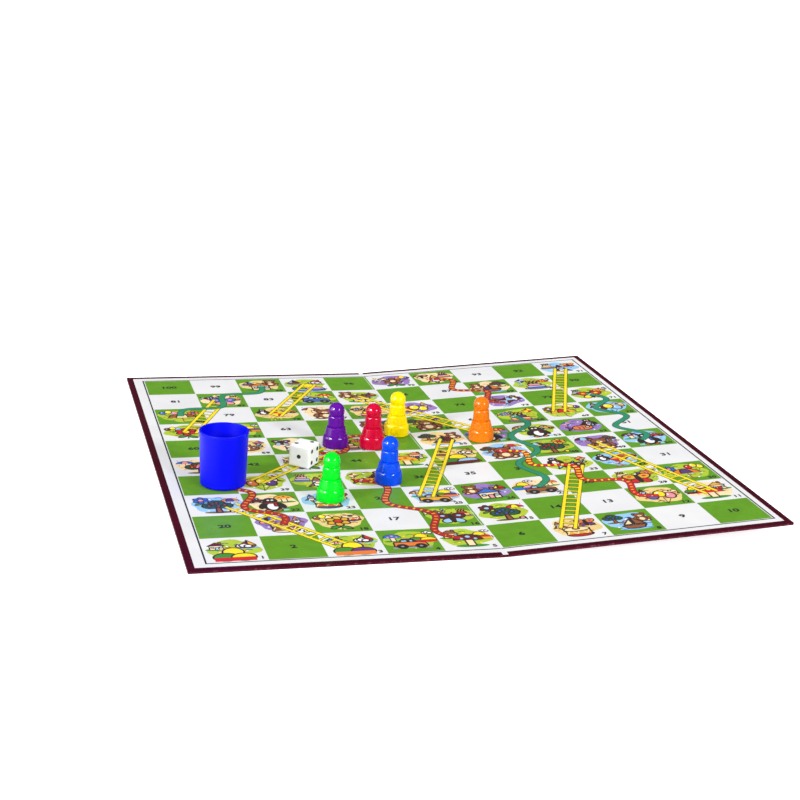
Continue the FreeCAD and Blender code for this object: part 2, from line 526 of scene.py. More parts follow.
class ShapeTree(NodeBoard):
    """A geometry node tree with named sizes, ending in real faces with one material."""

    def __init__(self, name: str) -> None:
        """Start the tree with its inlet and outlet.

        Args:
            name: The tree's name.
        """
        super().__init__(bpy.data.node_groups.new(name, "GeometryNodeTree"))
        self.sockets: dict[str, str] = {}
        for way in ("INPUT", "OUTPUT"):
            self._open("Geometry", way, "NodeSocketGeometry")
        self.inlet = self.add("NodeGroupInput")

    def _open(self, name: str, way: str, kind: str) -> str:
        """Add a socket to the tree's interface and return its identifier."""
        return self.tree.interface.new_socket(name, in_out=way, socket_type=kind).identifier

    def size(self, name: str, kind: str = "NodeSocketFloat") -> Socket:
        """Add a named input and return it, to link from."""
        self.sockets[name] = self._open(name, "INPUT", kind)
        return self.inlet.outputs[name]

    def sizes(self, *names: str) -> list[Socket]:
        """Add several named inputs and return them."""
        return [self.size(name) for name in names]

    def vector(self, x: object = 0.0, y: object = 0.0, z: object = 0.0) -> Socket:
        """Vector of three values or sockets."""
        return self.add("ShaderNodeCombineXYZ", {0: x, 1: y, 2: z}).outputs[0]

    def grid(self, wide: object, deep: object, columns: object = 2, rows: object = 2) -> Socket:
        """Flat grid of so many points a side, one rectangle if not told."""
        given = {"Size X": wide, "Size Y": deep, "Vertices X": columns, "Vertices Y": rows}
        return self.add("GeometryNodeMeshGrid", given).outputs[0]

    def cell(self, rows: Socket) -> tuple[Socket, Socket]:
        """Column and row of each point of a grid.

        Args:
            rows: Points in a column.

        Returns:
            The column and the row, counted from zero.
        """
        index = self.add("GeometryNodeInputIndex").outputs[0]
        column = self.maths("FLOOR", self.maths("DIVIDE", self.maths("ADD", index, 0.5), rows))
        return column, self.maths("SUBTRACT", index, self.maths("MULTIPLY", column, rows))

    def scatter(self, points: Socket, instance: Socket, **more: Socket) -> Socket:
        """Put a copy of a shape on each point, with the node's other inputs by name."""
        given = {"Points": points, "Instance": instance, **more}
        return self.add("GeometryNodeInstanceOnPoints", given).outputs[0]

    def row(self, count: object, start: Socket, offset: Socket) -> Socket:
        """Points in a row."""
        given = {"Count": count, "Start Location": start, "Offset": offset}
        return self.add("GeometryNodeMeshLine", given).outputs[0]

    def close(self, geometry: Socket, material: Material) -> None:
        """End the tree: make the instances real and give them their material.

        Args:
            geometry: What the tree has built.
            material: The material of every face.
        """
        real = self.add("GeometryNodeRealizeInstances", {"Geometry": geometry})
        dressed = self.add("GeometryNodeSetMaterial", {"Geometry": real.outputs[0], "Material": material})
        self.add("NodeGroupOutput", {0: dressed.outputs[0]})

    def bake(self, source: bpy.types.ID, sizes: dict[str, object]) -> Mesh:
        """Run the tree on a mesh or curve and return the result as a plain mesh.

        Args:
            source: The mesh or curve data that the tree starts from.
            sizes: Value of each named input.

        Returns:
            The evaluated mesh, with no empty material slot.
        """
        holder = placed(self.tree.name, source)
        modifier = holder.modifiers.new("shape", "NODES")
        modifier.node_group = self.tree
        for name, value in sizes.items():
            modifier[self.sockets[name]] = value
        mesh = evaluated(holder)
        while len(mesh.materials) > 1 and not mesh.materials[0]:
            mesh.materials.pop(index=0)
        return mesh


@dataclass
class Fold:
    """The crease: where it lies, and how far the right leaf stands raised at rest."""

    height: float
    rest_lift: float

    def place(self, leaf: Leaf) -> Matrix:
        """Matrix that takes the flat board's leaf to where it lies at rest.

        Args:
            leaf: The leaf.

        Returns:
            The matrix, the identity for the left leaf.
        """
        if leaf is Leaf.LEFT:
            return Matrix.Identity(4)
        to_axis = Matrix.Translation((0, 0, self.height))
        return to_axis @ Matrix.Rotation(-self.rest_lift, 4, "Y") @ to_axis.inverted()

    @classmethod
    def from_frame(cls) -> Fold:
        """Read the crease from the frame's fold joint, whose lowest value is the leaf lying flat."""
        joint = next(j for j in frame["joints"] if j["name"] == "board_fold")
        return cls(height=joint["pos_m"][2], rest_lift=math.radians(-joint["range_deg"][0]))


@dataclass
class PlayingField:
    """The grid of squares, worked out from the board's outside."""

    fold: Fold
    board_half: float
    turn_in: float = 4.4 * MM
    margin: float = 6.1 * MM
    shift: Point = (1.5 * MM, -0.4 * MM)
    count: int = 10

    @property
    def square(self) -> float:
        """Side of one square."""
        return 2 * (self.board_half - self.turn_in - self.margin) / self.count

    def at(self, column: float, row: float) -> Vector:
        """Place on the flat board, counted in squares from the front left corner.

        Args:
            column: Squares from the left side.
            row: Squares from the front side.

        Returns:
            The place, at height zero.
        """
        middle = self.count / 2
        offset = Vector((column - middle, row - middle, 0)) * self.square
        return offset + Vector((*self.shift, 0))

    def number(self, column: int, row: int) -> int:
        """Number of a square, 1 to 100: rows run to and fro from the front left."""
        along = column if row % 2 == 0 else self.count - 1 - column
        return row * self.count + along + 1


class Press:
    """Gathers flat printed shapes and gives them a closed film of ink on each leaf."""

    # Height of a film's underside over the sheet, and how far the print stops from the fold
    base = 0.004 * MM
    crease = 0.2 * MM

    def __init__(self, name: str, playing_field: PlayingField, material: Material) -> None:
        """Start an empty run.

        Args:
            name: What the run prints, used in the pieces' names.
            playing_field: The grid and fold that the print lies on.
            material: The ink material.
        """
        self.name = name
        self.field = playing_field
        self.material = material
        self.flat = bmesh.new()
        self.inks = list(Ink)
        self.ink = self.flat.faces.layers.int.new("ink_number")

    def _face(self, corners: list[bmesh.types.BMVert], ink: Ink) -> None:
        """Add one face that looks up.

        Args:
            corners: Its corners.
            ink: Its ink.
        """
        face = self.flat.faces.new(corners)
        face.normal_update()
        if face.normal.z < 0:
            face.normal_flip()
        face[self.ink] = self.inks.index(ink)

    def shape(self, points: list[Point], level: float, ink: Ink) -> None:
        """Print one filled outline, the top of its film at a level over the sheet."""
        self._face([self.flat.verts.new((x, y, level)) for x, y in points], ink)

    def mesh(self, mesh: Mesh, place: Matrix, level: float, ink: Ink) -> None:
        """Print a flat mesh.

        Args:
            mesh: The mesh, lying in its own XY plane.
            place: Where it goes on the flat board.
            level: Height of the film's top over the sheet.
            ink: Its ink.
        """
        corners = [self.flat.verts.new((*(place @ vertex.co).xy, level)) for vertex in mesh.vertices]
        for polygon in mesh.polygons:
            self._face([corners[i] for i in polygon.vertices], ink)

    def _film(self, leaf: Leaf) -> bmesh.types.BMesh:
        """Keep one leaf's share of the shapes and give it sides and an underside.

        Args:
            leaf: The leaf.

        Returns:
            The closed film, lying on the flat board.
        """
        film = self.flat.copy()
        everything = film.verts[:] + film.edges[:] + film.faces[:]
        bmesh.ops.bisect_plane(film, geom=everything, plane_co=(leaf.side * self.crease, 0, 0),
                               plane_no=(-leaf.side, 0, 0), clear_outer=True)
        ink = film.faces.layers.int["ink_number"]
        tops = film.faces[:]
        rims = [edge.link_loops[0] for edge in film.edges if len(edge.link_loops) == 1]
        rims = [(loop.vert, loop.link_loop_next.vert, loop.face) for loop in rims]
        under = {v: film.verts.new((v.co.x, v.co.y, self.base)) for v in film.verts[:]}
        for top in tops:
            film.faces.new([under[v] for v in reversed(top.verts)])[ink] = top[ink]
        for start, end, top in rims:
            film.faces.new((end, start, under[start], under[end]))[ink] = top[ink]
        return film

    def run(self) -> None:
        """Make each leaf's film a piece, on the sheet and riding with its leaf."""
        for leaf in Leaf:
            film = self._film(leaf)
            if film.faces:
                self._piece(film, leaf)
            film.free()
        self.flat.free()

    def _piece(self, film: bmesh.types.BMesh, leaf: Leaf) -> None:
        """Turn one leaf's film into a dressed piece.

        Args:
            film: The film.
            leaf: The leaf.
        """
        name = f"{leaf.prefix}_{self.name}"
        ink = film.faces.layers.int["ink_number"]
        film.transform(self.field.fold.place(leaf) @ Matrix.Translation((0, 0, self.field.fold.height)))
        numbers = [face[ink] for face in film.faces]
        mesh = bpy.data.meshes.new(name)
        film.to_mesh(mesh)
        mesh.attributes.remove(mesh.attributes["ink_number"])
        colours = [linear(*each.value) for each in self.inks]
        layer = mesh.color_attributes.new("ink", "FLOAT_COLOR", "CORNER")
        for polygon, number in zip(mesh.polygons, numbers):
            for corner in polygon.loop_indices:
                layer.data[corner].color = colours[number]
        mesh.materials.append(self.material)
        piece = placed(name, mesh)
        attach(piece, leaf.value)
        LOG.info("%s: %d faces", name, len(mesh.polygons))


@dataclass
class Layer:
    """One kind of print on the playing field."""

    field: PlayingField
    ink: Material

    def press(self, name: str) -> Press:
        """Start a run of the press, for pieces of this name."""
        return Press(name, self.field, self.ink)


@dataclass
class Checker(Layer):
    """The green squares of the grid and the thin line round it."""

    gap: float = 0.5 * MM
    line: float = 1.0 * MM
    line_gap: float = 0.3 * MM
    level: float = 0.014 * MM

    def tree(self) -> ShapeTree:
        """Tree that lays a plate on every second point of a grid.

        Returns:
            The finished tree.
        """
        tree = ShapeTree("checker_squares")
        pitch, gap = tree.sizes("Square", "Gap")
        columns, rows = tree.size("Columns", "NodeSocketInt"), tree.size("Rows", "NodeSocketInt")
        width, depth = (tree.maths("MULTIPLY", pitch, tree.maths("SUBTRACT", count, 1.0))
                        for count in (columns, rows))
        side = tree.maths("SUBTRACT", pitch, gap)
        column, row = tree.cell(rows)
        odd = tree.maths("MODULO", tree.maths("ADD", column, row), 2.0)
        tree.close(tree.scatter(tree.grid(width, depth, columns, rows), tree.grid(side, side),
                                Selection=tree.maths("GREATER_THAN", odd, 0.5)), self.ink)
        return tree

    def print_squares(self) -> None:
        """Print the green squares."""
        count = self.field.count
        sizes = {"Square": self.field.square, "Gap": self.gap, "Columns": count, "Rows": count}
        squares = self.tree().bake(bpy.data.meshes.new("none"), sizes)
        press = self.press("green_squares")
        press.mesh(squares, Matrix.Translation(self.field.at(count / 2, count / 2)), self.level, Ink.GREEN)
        press.run()

    def print_line(self) -> None:
        """Print the thin line round the grid."""
        press = self.press("border_line")
        inner = self.field.square * self.field.count / 2 + self.line_gap
        outer = inner + self.line
        middle, wide = (inner + outer) / 2, self.line / 2
        for x, y, half_x, half_y in ((0, middle, outer, wide), (0, -middle, outer, wide),
                                     (middle, 0, wide, inner), (-middle, 0, wide, inner)):
            x, y = x + self.field.shift[0], y + self.field.shift[1]
            corners = [(x - half_x, y - half_y), (x + half_x, y - half_y),
                       (x + half_x, y + half_y), (x - half_x, y + half_y)]
            press.shape(corners, self.level, Ink.BLACK)
        press.run()

    def print_all(self) -> None:
        """Print the squares, then the line."""
        self.print_squares()
        self.print_line()


@dataclass
class Journey:
    """One ladder or snake: the squares it joins, as (column, row)."""

    start: Point
    end: Point
    waves: float = 0.0
    skin: tuple[Ink, Ink, Ink] = (Ink.MAROON, Ink.BRICK, Ink.GOLD)


@dataclass
class Ladders(Layer):
    """Two-rail ladders lying across the squares, yellow with dark edges."""

    width: float = 8.5 * MM
    rail: float = 1.9 * MM
    rung: float = 1.1 * MM
    pitch: float = 6.5 * MM
    edge: float = 0.45 * MM
    edge_level: float = 0.118 * MM
    level: float = 0.124 * MM
    runs: tuple[Journey, ...] = (
        Journey((2.3, 0.45), (0.75, 2.45)),
        Journey((6.35, 0.5), (7.6, 3.4)),
        Journey((9.5, 1.4), (8.35, 4.45)),
        Journey((1.4, 3.55), (3.35, 5.4)),
        Journey((4.35, 2.5), (5.6, 5.45)),
        Journey((0.55, 6.45), (1.45, 8.5)),
        Journey((6.6, 5.5), (4.4, 8.5)),
        Journey((8.4, 6.5), (9.5, 9.4)),
        Journey((2.45, 7.4), (3.6, 9.5)),
    )

    def tree(self) -> ShapeTree:
        """Tree that makes one flat ladder along +Y from its foot.

        Returns:
            The finished tree.
        """
        tree = ShapeTree("ladder")
        names = ("Length", "Width", "Rail", "Rung", "Pitch", "Edge")
        length, width, rail, rung, pitch, grow = tree.sizes(*names)
        twice = tree.maths("MULTIPLY", grow, 2.0)
        side = tree.grid(tree.maths("ADD", rail, twice), tree.maths("ADD", length, twice))
        step = tree.grid(tree.maths("SUBTRACT", tree.maths("SUBTRACT", width, rail), twice),
                         tree.maths("ADD", rung, twice))
        left = tree.maths("MULTIPLY", tree.maths("DIVIDE", width, 2.0), -1.0)
        middle = tree.maths("DIVIDE", length, 2.0)
        rails = tree.scatter(tree.row(2, tree.vector(left, middle), tree.vector(width)), side)
        count = tree.maths("FLOOR", tree.maths("DIVIDE", tree.maths("SUBTRACT", length, pitch), pitch))
        used = tree.maths("MULTIPLY", tree.maths("SUBTRACT", count, 1.0), pitch)
        first = tree.maths("DIVIDE", tree.maths("SUBTRACT", length, used), 2.0)
        rungs = tree.scatter(tree.row(count, tree.vector(0.0, first), tree.vector(0.0, pitch)), step)
        both = tree.add("GeometryNodeJoinGeometry")
        for part in (rails, rungs):
            tree.tree.links.new(part, both.inputs[0])
        tree.close(both.outputs[0], self.ink)
        return tree

    def print_all(self) -> None:
        """Print every ladder, its dark edges first."""
        tree, press = self.tree(), self.press("ladders")
        for run in self.runs:
            foot, top = self.field.at(*run.start), self.field.at(*run.end)
            along = top - foot
            place = Matrix.Translation(foot) @ Matrix.Rotation(math.atan2(-along.x, along.y), 4, "Z")
            sizes = {"Length": along.length, "Width": self.width, "Rail": self.rail,
                     "Rung": self.rung, "Pitch": self.pitch}
            for grow, level, ink in ((self.edge, self.edge_level, Ink.OLIVE), (0.0, self.level, Ink.YELLOW)):
                ladder = tree.bake(bpy.data.meshes.new("none"), {**sizes, "Edge": grow})
                press.mesh(ladder, place, level, ink)
        press.run()


@dataclass
class Snakes(Layer):
    """Wavy banded snakes, from a broad head down to a thin tail."""

    width: float = 3.8 * MM
    edge: float = 0.5 * MM
    band: float = 1.6 * MM
    pitch: float = 4.4 * MM
    taper_from: float = 0.35
    tail_share: float = 0.3
    last_band_share: float = 0.97
    level: float = 0.131 * MM
    film: float = 0.006 * MM
    step: float = 0.8 * MM
    runs: tuple[Journey, ...] = (
        Journey((0.5, 4.45), (1.5, 1.45), 2.5),
        Journey((3.4, 3.4), (4.4, 0.5), 2.0),
        Journey((6.5, 4.5), (8.5, 1.5), 3.0, (Ink.MAROON, Ink.RED, Ink.YELLOW)),
        Journey((7.4, 6.4), (6.5, 2.5), 2.5, (Ink.PINE, Ink.TEAL, Ink.TEAL)),
        Journey((4.6, 6.4), (2.4, 4.5), 2.0),
        Journey((9.5, 7.4), (9.4, 4.4), 2.5, (Ink.PINE, Ink.TEAL, Ink.TEAL)),
        Journey((2.5, 9.4), (0.5, 7.5), 2.0, (Ink.PINE, Ink.TEAL, Ink.LEAF)),
        Journey((6.5, 9.4), (7.5, 7.4), 2.0),
    )
    sway: float = 0.3
    controls: int = 5
    path_order: int = 4
    path_steps: int = 16
    head_radii: Point = (0.95, 0.68)
    head_forward: float = 0.3
    tongue_long: float = 1.6
    tongue_fork: float = 0.35
    tongue_wide: float = 0.12
    eye_forward: float = 0.25
    eye_out: float = 0.32
    eye: float = 0.2
    pupil: float = 0.1
    pupil_forward: float = 0.05

    def spine(self, run: Journey) -> list[Vector]:
        """Control points of one snake's wavy middle line, from head to tail.

        Args:
            run: The snake's squares and its number of waves.

        Returns:
            The points on the flat board.
        """
        head, tail = Vector(run.start), Vector(run.end)
        side = (tail - head).normalized().orthogonal() * self.sway
        count = round(run.waves * self.controls)
        points = []
        for k in range(count + 1):
            sway = math.sin(math.tau * run.waves * k / count)
            points.append(self.field.at(*(head.lerp(tail, k / count) + side * sway)))
        return points

    def path(self, run: Journey) -> bpy.types.Curve:
        """Smooth flat path of one snake, from head to tail.

        Args:
            run: The snake's squares and bends.

        Returns:
            A curve through smooth control points.
        """
        curve = bpy.data.curves.new("snake_path", "CURVE")
        curve.dimensions = "3D"
        spline = curve.splines.new("NURBS")
        points = self.spine(run)
        spline.points.add(len(points) - 1)
        for control, point in zip(spline.points, points):
            control.co = (point.x, point.y, 0, 1)
        spline.order_u = self.path_order
        spline.use_endpoint_u = True
        spline.resolution_u = self.path_steps
        return curve

    def taper(self, tree: ShapeTree, along: Socket) -> Socket:
        """Width along a snake as a share of its full width.

        Args:
            tree: The tree being wired, which gets the tail's share as a named size.
            along: How far along the path, 0 to 1.

        Returns:
            The share, full over the snake's first part.
        """
        return tree.add("ShaderNodeMapRange", {
            "Value": along, "From Min": self.taper_from, "From Max": 1.0,
            "To Min": 1.0, "To Max": tree.size("Tail Share"),
        }).outputs[0]

    def body_tree(self) -> ShapeTree:
        """Tree that sweeps a flat tapering ribbon along a path.

        Returns:
            The finished tree.
        """
        tree = ShapeTree("snake_body")
        width, step = tree.sizes("Width", "Step")
        smooth = tree.add("GeometryNodeResampleCurve", {"Curve": tree.inlet.outputs[0], "Length": step},
                          mode="LENGTH")
        upright = tree.add("GeometryNodeSetCurveNormal", {"Curve": smooth.outputs[0]}, mode="Z_UP")
        late = self.taper(tree, tree.add("GeometryNodeSplineParameter").outputs["Factor"])
        sized = tree.add("GeometryNodeSetCurveRadius", {"Curve": upright.outputs[0], "Radius": late})
        half = tree.maths("DIVIDE", width, 2.0)
        profile = tree.add("GeometryNodeCurvePrimitiveLine", {
            "Start": tree.vector(tree.maths("MULTIPLY", half, -1.0)), "End": tree.vector(half),
        })
        ribbon = tree.add("GeometryNodeCurveToMesh", {
            "Curve": sized.outputs[0], "Profile Curve": profile.outputs[0],
        })
        tree.close(ribbon.outputs[0], self.ink)
        return tree

    def band_tree(self) -> ShapeTree:
        """Tree that lays bands across a path at even steps, narrower to the tail.

        Returns:
            The finished tree.
        """
        tree = ShapeTree("snake_bands")
        width, band, pitch = tree.sizes("Width", "Band", "Pitch")
        spots = tree.add("GeometryNodeCurveToPoints", {"Curve": tree.inlet.outputs[0], "Length": pitch},
                         mode="LENGTH")
        turn = tree.add("FunctionNodeAlignRotationToVector", {"Vector": spots.outputs["Tangent"]}, axis="X")
        points = spots.outputs["Points"]
        total = tree.add("GeometryNodeAttributeDomainSize", {0: points}, component="POINTCLOUD")
        index = tree.add("GeometryNodeInputIndex").outputs[0]
        along = tree.maths("DIVIDE", index, total.outputs["Point Count"])
        late = self.taper(tree, along)
        inner = tree.maths("MULTIPLY", tree.maths("GREATER_THAN", index, 0.5),
                           tree.maths("LESS_THAN", along, self.last_band_share))
        tree.close(tree.scatter(points, tree.grid(band, width), Selection=inner, Rotation=turn.outputs[0],
                                Scale=tree.vector(late, late, 1.0)), self.ink)
        return tree

    def head(self, press: Press, run: Journey) -> None:
        """Print a snake's head, eyes and forked tongue.

        Args:
            press: The run that prints the snakes.
            run: The snake.
        """
        nose = self.field.at(*run.start)
        ahead = (nose - self.spine(run)[1]).normalized()
        side = Vector((-ahead.y, ahead.x, 0))
        dark, skin, _ = run.skin
        size = self.width
        thin, eye, pupil = size * self.tongue_wide, size * self.eye, size * self.pupil
        long, wide = self.head_radii
        centre = nose + ahead * size * self.head_forward
        draw = Drawing(press, self.level + 3 * self.film)
        tip = nose + ahead * size * self.tongue_long
        draw.stroke([centre, tip], thin, Ink.RED)
        for way in SIDES:
            draw.stroke([tip, tip + (ahead + side * way) * size * self.tongue_fork], thin, Ink.RED)
        for grow, ink in ((self.edge, dark), (0.0, skin)):
            draw.oval(centre, (size * long + grow, size * wide + grow), ink, math.atan2(ahead.y, ahead.x))
        for way in SIDES:
            spot = centre + ahead * size * self.eye_forward + side * way * size * self.eye_out
            draw.oval(spot, (eye, eye), Ink.WHITE)
            draw.oval(spot + ahead * size * self.pupil_forward, (pupil, pupil), Ink.BLACK)

    def print_all(self) -> None:
        """Print every snake: edge, body, bands and head."""
        press = self.press("snakes")
        body, bands = self.body_tree(), self.band_tree()
        flat = Matrix.Identity(4)
        for run in self.runs:
            path = self.path(run)
            dark, skin, stripe = run.skin
            for order, (grow, ink) in enumerate(((self.edge, dark), (0.0, skin))):
                sizes = {"Width": self.width + 2 * grow, "Tail Share": self.tail_share, "Step": self.step}
                press.mesh(body.bake(path, sizes), flat, self.level + order * self.film, ink)
            sizes = {"Width": self.width - self.edge, "Band": self.band,
                     "Tail Share": self.tail_share, "Pitch": self.pitch}
            press.mesh(bands.bake(path, sizes), flat, self.level + 2 * self.film, stripe)
            self.head(press, run)
        press.run()


class Drawing:
    """Draws small shapes one over the other, each a hair above the last."""

    rise = 0.0007 * MM
    corners = 20

    def __init__(self, press: Press, level: float) -> None:
        """Start on a press's run, at a level over the sheet."""
        self.press = press
        self.level = level

    def area(self, points: list[Vector], ink: Ink) -> None:
        """Print one filled outline over what is there."""
        self.level += self.rise
        self.press.shape([(p.x, p.y) for p in points], self.level, ink)

    def oval(self, centre: Vector, radii: Point, ink: Ink, turn: float = 0.0,
             share: Point = (0.0, 1.0)) -> None:
        """Print an ellipse or a slice of one.

        Args:
            centre: Its centre.
            radii: Its two radii.
            ink: Its ink.
            turn: Angle of its first radius.
            share: Start and end of the slice, in turns.
        """
        start, end = share
        whole = math.isclose(end - start, 1.0)
        steps = self.corners if whole else self.corners // 2
        spin = Matrix.Rotation(turn, 2)
        points = []
        for k in range(steps if whole else steps + 1):
            angle = math.tau * (start + (end - start) * k / steps)
            offset = spin @ Vector((radii[0] * math.cos(angle), radii[1] * math.sin(angle)))
            points.append(centre + offset.to_3d())
        self.area(points, ink)

    def stroke(self, points: list[Vector], width: float, ink: Ink) -> None:
        """Print a line of even width.

        Args:
            points: The line's points.
            width: Its width.
            ink: Its ink.
        """
        for start, end in zip(points, points[1:]):
            side = (end - start).normalized().cross(Vector((0, 0, 1))) * width / 2
            self.area([start - side, end - side, end + side, start + side], ink)


class Motif(Enum):
    """Small pictures printed in the squares."""

    BOAT = "boat"
    KITE = "kite"
    BALLOONS = "balloons"
    HOUSE = "house"
    FISH = "fish"
    FLOWER = "flower"
    SUNRISE = "sunrise"
    CAKE = "cake"
    UMBRELLA = "umbrella"
    MUSHROOM = "mushroom"
    BUTTERFLY = "butterfly"
    TREE = "tree"
    CAR = "car"
    ROCKET = "rocket"
    TEDDY = "teddy"
    PENGUIN = "penguin"
    DRUM = "drum"


@dataclass(frozen=True)
class Ground:
    """Patch of scenery under a square's picture."""

    base: Ink
    mark: Ink
    spots: Ink


@dataclass
class Pen:
    """Draws in shares of a picture's side, with its middle at zero."""

    drawing: Drawing
    middle: Vector
    side: float
    line: float = 0.042

    def spot(self, x: float, y: float) -> Vector:
        """Place of a point of the picture on the flat board."""
        return self.middle + Vector((x, y, 0)) * self.side

    def oval(self, x: float, y: float, wide: float, tall: float, ink: Ink, turn: float = 0.0,
             share: Point = (0.0, 1.0), bare: bool = False) -> None:
        """Draw an ellipse or a slice of one, with a dark outline under it.

        Args:
            x: Its centre across the square.
            y: Its centre up the square.
            wide: Half its width.
            tall: Half its height.
            ink: Its ink.
            turn: Its turn, in degrees.
            share: Start and end of the slice, in turns.
            bare: Whether it has no outline.
        """
        under = [] if bare else [(self.line, Ink.OUTLINE)]
        for grow, layer in under + [(0.0, ink)]:
            radii = ((wide + grow) * self.side, (tall + grow) * self.side)
            self.drawing.oval(self.spot(x, y), radii, layer, math.radians(turn), share)

    def ball(self, x: float, y: float, radius: float, ink: Ink, bare: bool = False) -> None:
        """Draw a round shape."""
        self.oval(x, y, radius, radius, ink, bare=bare)

    def area(self, points: list[Point], ink: Ink, bare: bool = False) -> None:
        """Draw a filled outline with a dark line round it.

        Args:
            points: Its corners.
            ink: Its ink.
            bare: Whether it has no line round it.
        """
        corners = [self.spot(x, y) for x, y in points]
        self.drawing.area(corners, ink)
        if not bare:
            self.drawing.stroke(corners + corners[:1], self.line * self.side, Ink.OUTLINE)

    def box(self, left: float, low: float, right: float, high: float, ink: Ink, bare: bool = False) -> None:
        """Draw an upright rectangle."""
        self.area([(left, low), (right, low), (right, high), (left, high)], ink, bare)

    def stroke(self, points: list[Point], width: float, ink: Ink) -> None:
        """Draw a line, its width a share of the square."""
        self.drawing.stroke([self.spot(x, y) for x, y in points], width * self.side, ink)


@dataclass
class Scenery(Pen):
    """Wavy patch of ground under a square's motifs, with short marks and spots over it."""

    radii: Point = (0.44, 0.36)
    waves: tuple[Point, ...] = ((0.09, 3), (0.05, 7))
    points: int = 28
    marks: int = 9
    mark_turn: float = 2.4
    mark_spread: Point = (0.115, 0.1)
    mark_shape: tuple[Point, ...] = ((-0.06, 0.0), (0.02, 0.03), (0.07, 0.0))
    mark_wide: float = 0.025
    spot_size: float = 0.022
    spot_drop: float = 0.05

    def draw(self, ground: Ground, turn: float) -> None:
        """Draw the patch.

        Args:
            ground: Its inks.
            turn: Where its waves begin, in radians.
        """
        edge = []
        (broad, few), (fine, many) = self.waves
        for k in range(self.points):
            angle = math.tau * k / self.points
            reach = 1 + broad * math.sin(few * angle + turn) + fine * math.sin(many * angle - turn)
            edge.append((self.radii[0] * reach * math.cos(angle), self.radii[1] * reach * math.sin(angle)))
        self.area(edge, ground.base, bare=True)
        for k in range(self.marks):
            angle = turn + self.mark_turn * k
            x = self.mark_spread[0] * math.sqrt(k + 1) * math.cos(angle)
            y = self.mark_spread[1] * math.sqrt(k + 1) * math.sin(angle)
            self.stroke([(x + out, y + up) for out, up in self.mark_shape], self.mark_wide, ground.mark)
            self.ball(-x, y - self.spot_drop, self.spot_size, ground.spots, bare=True)


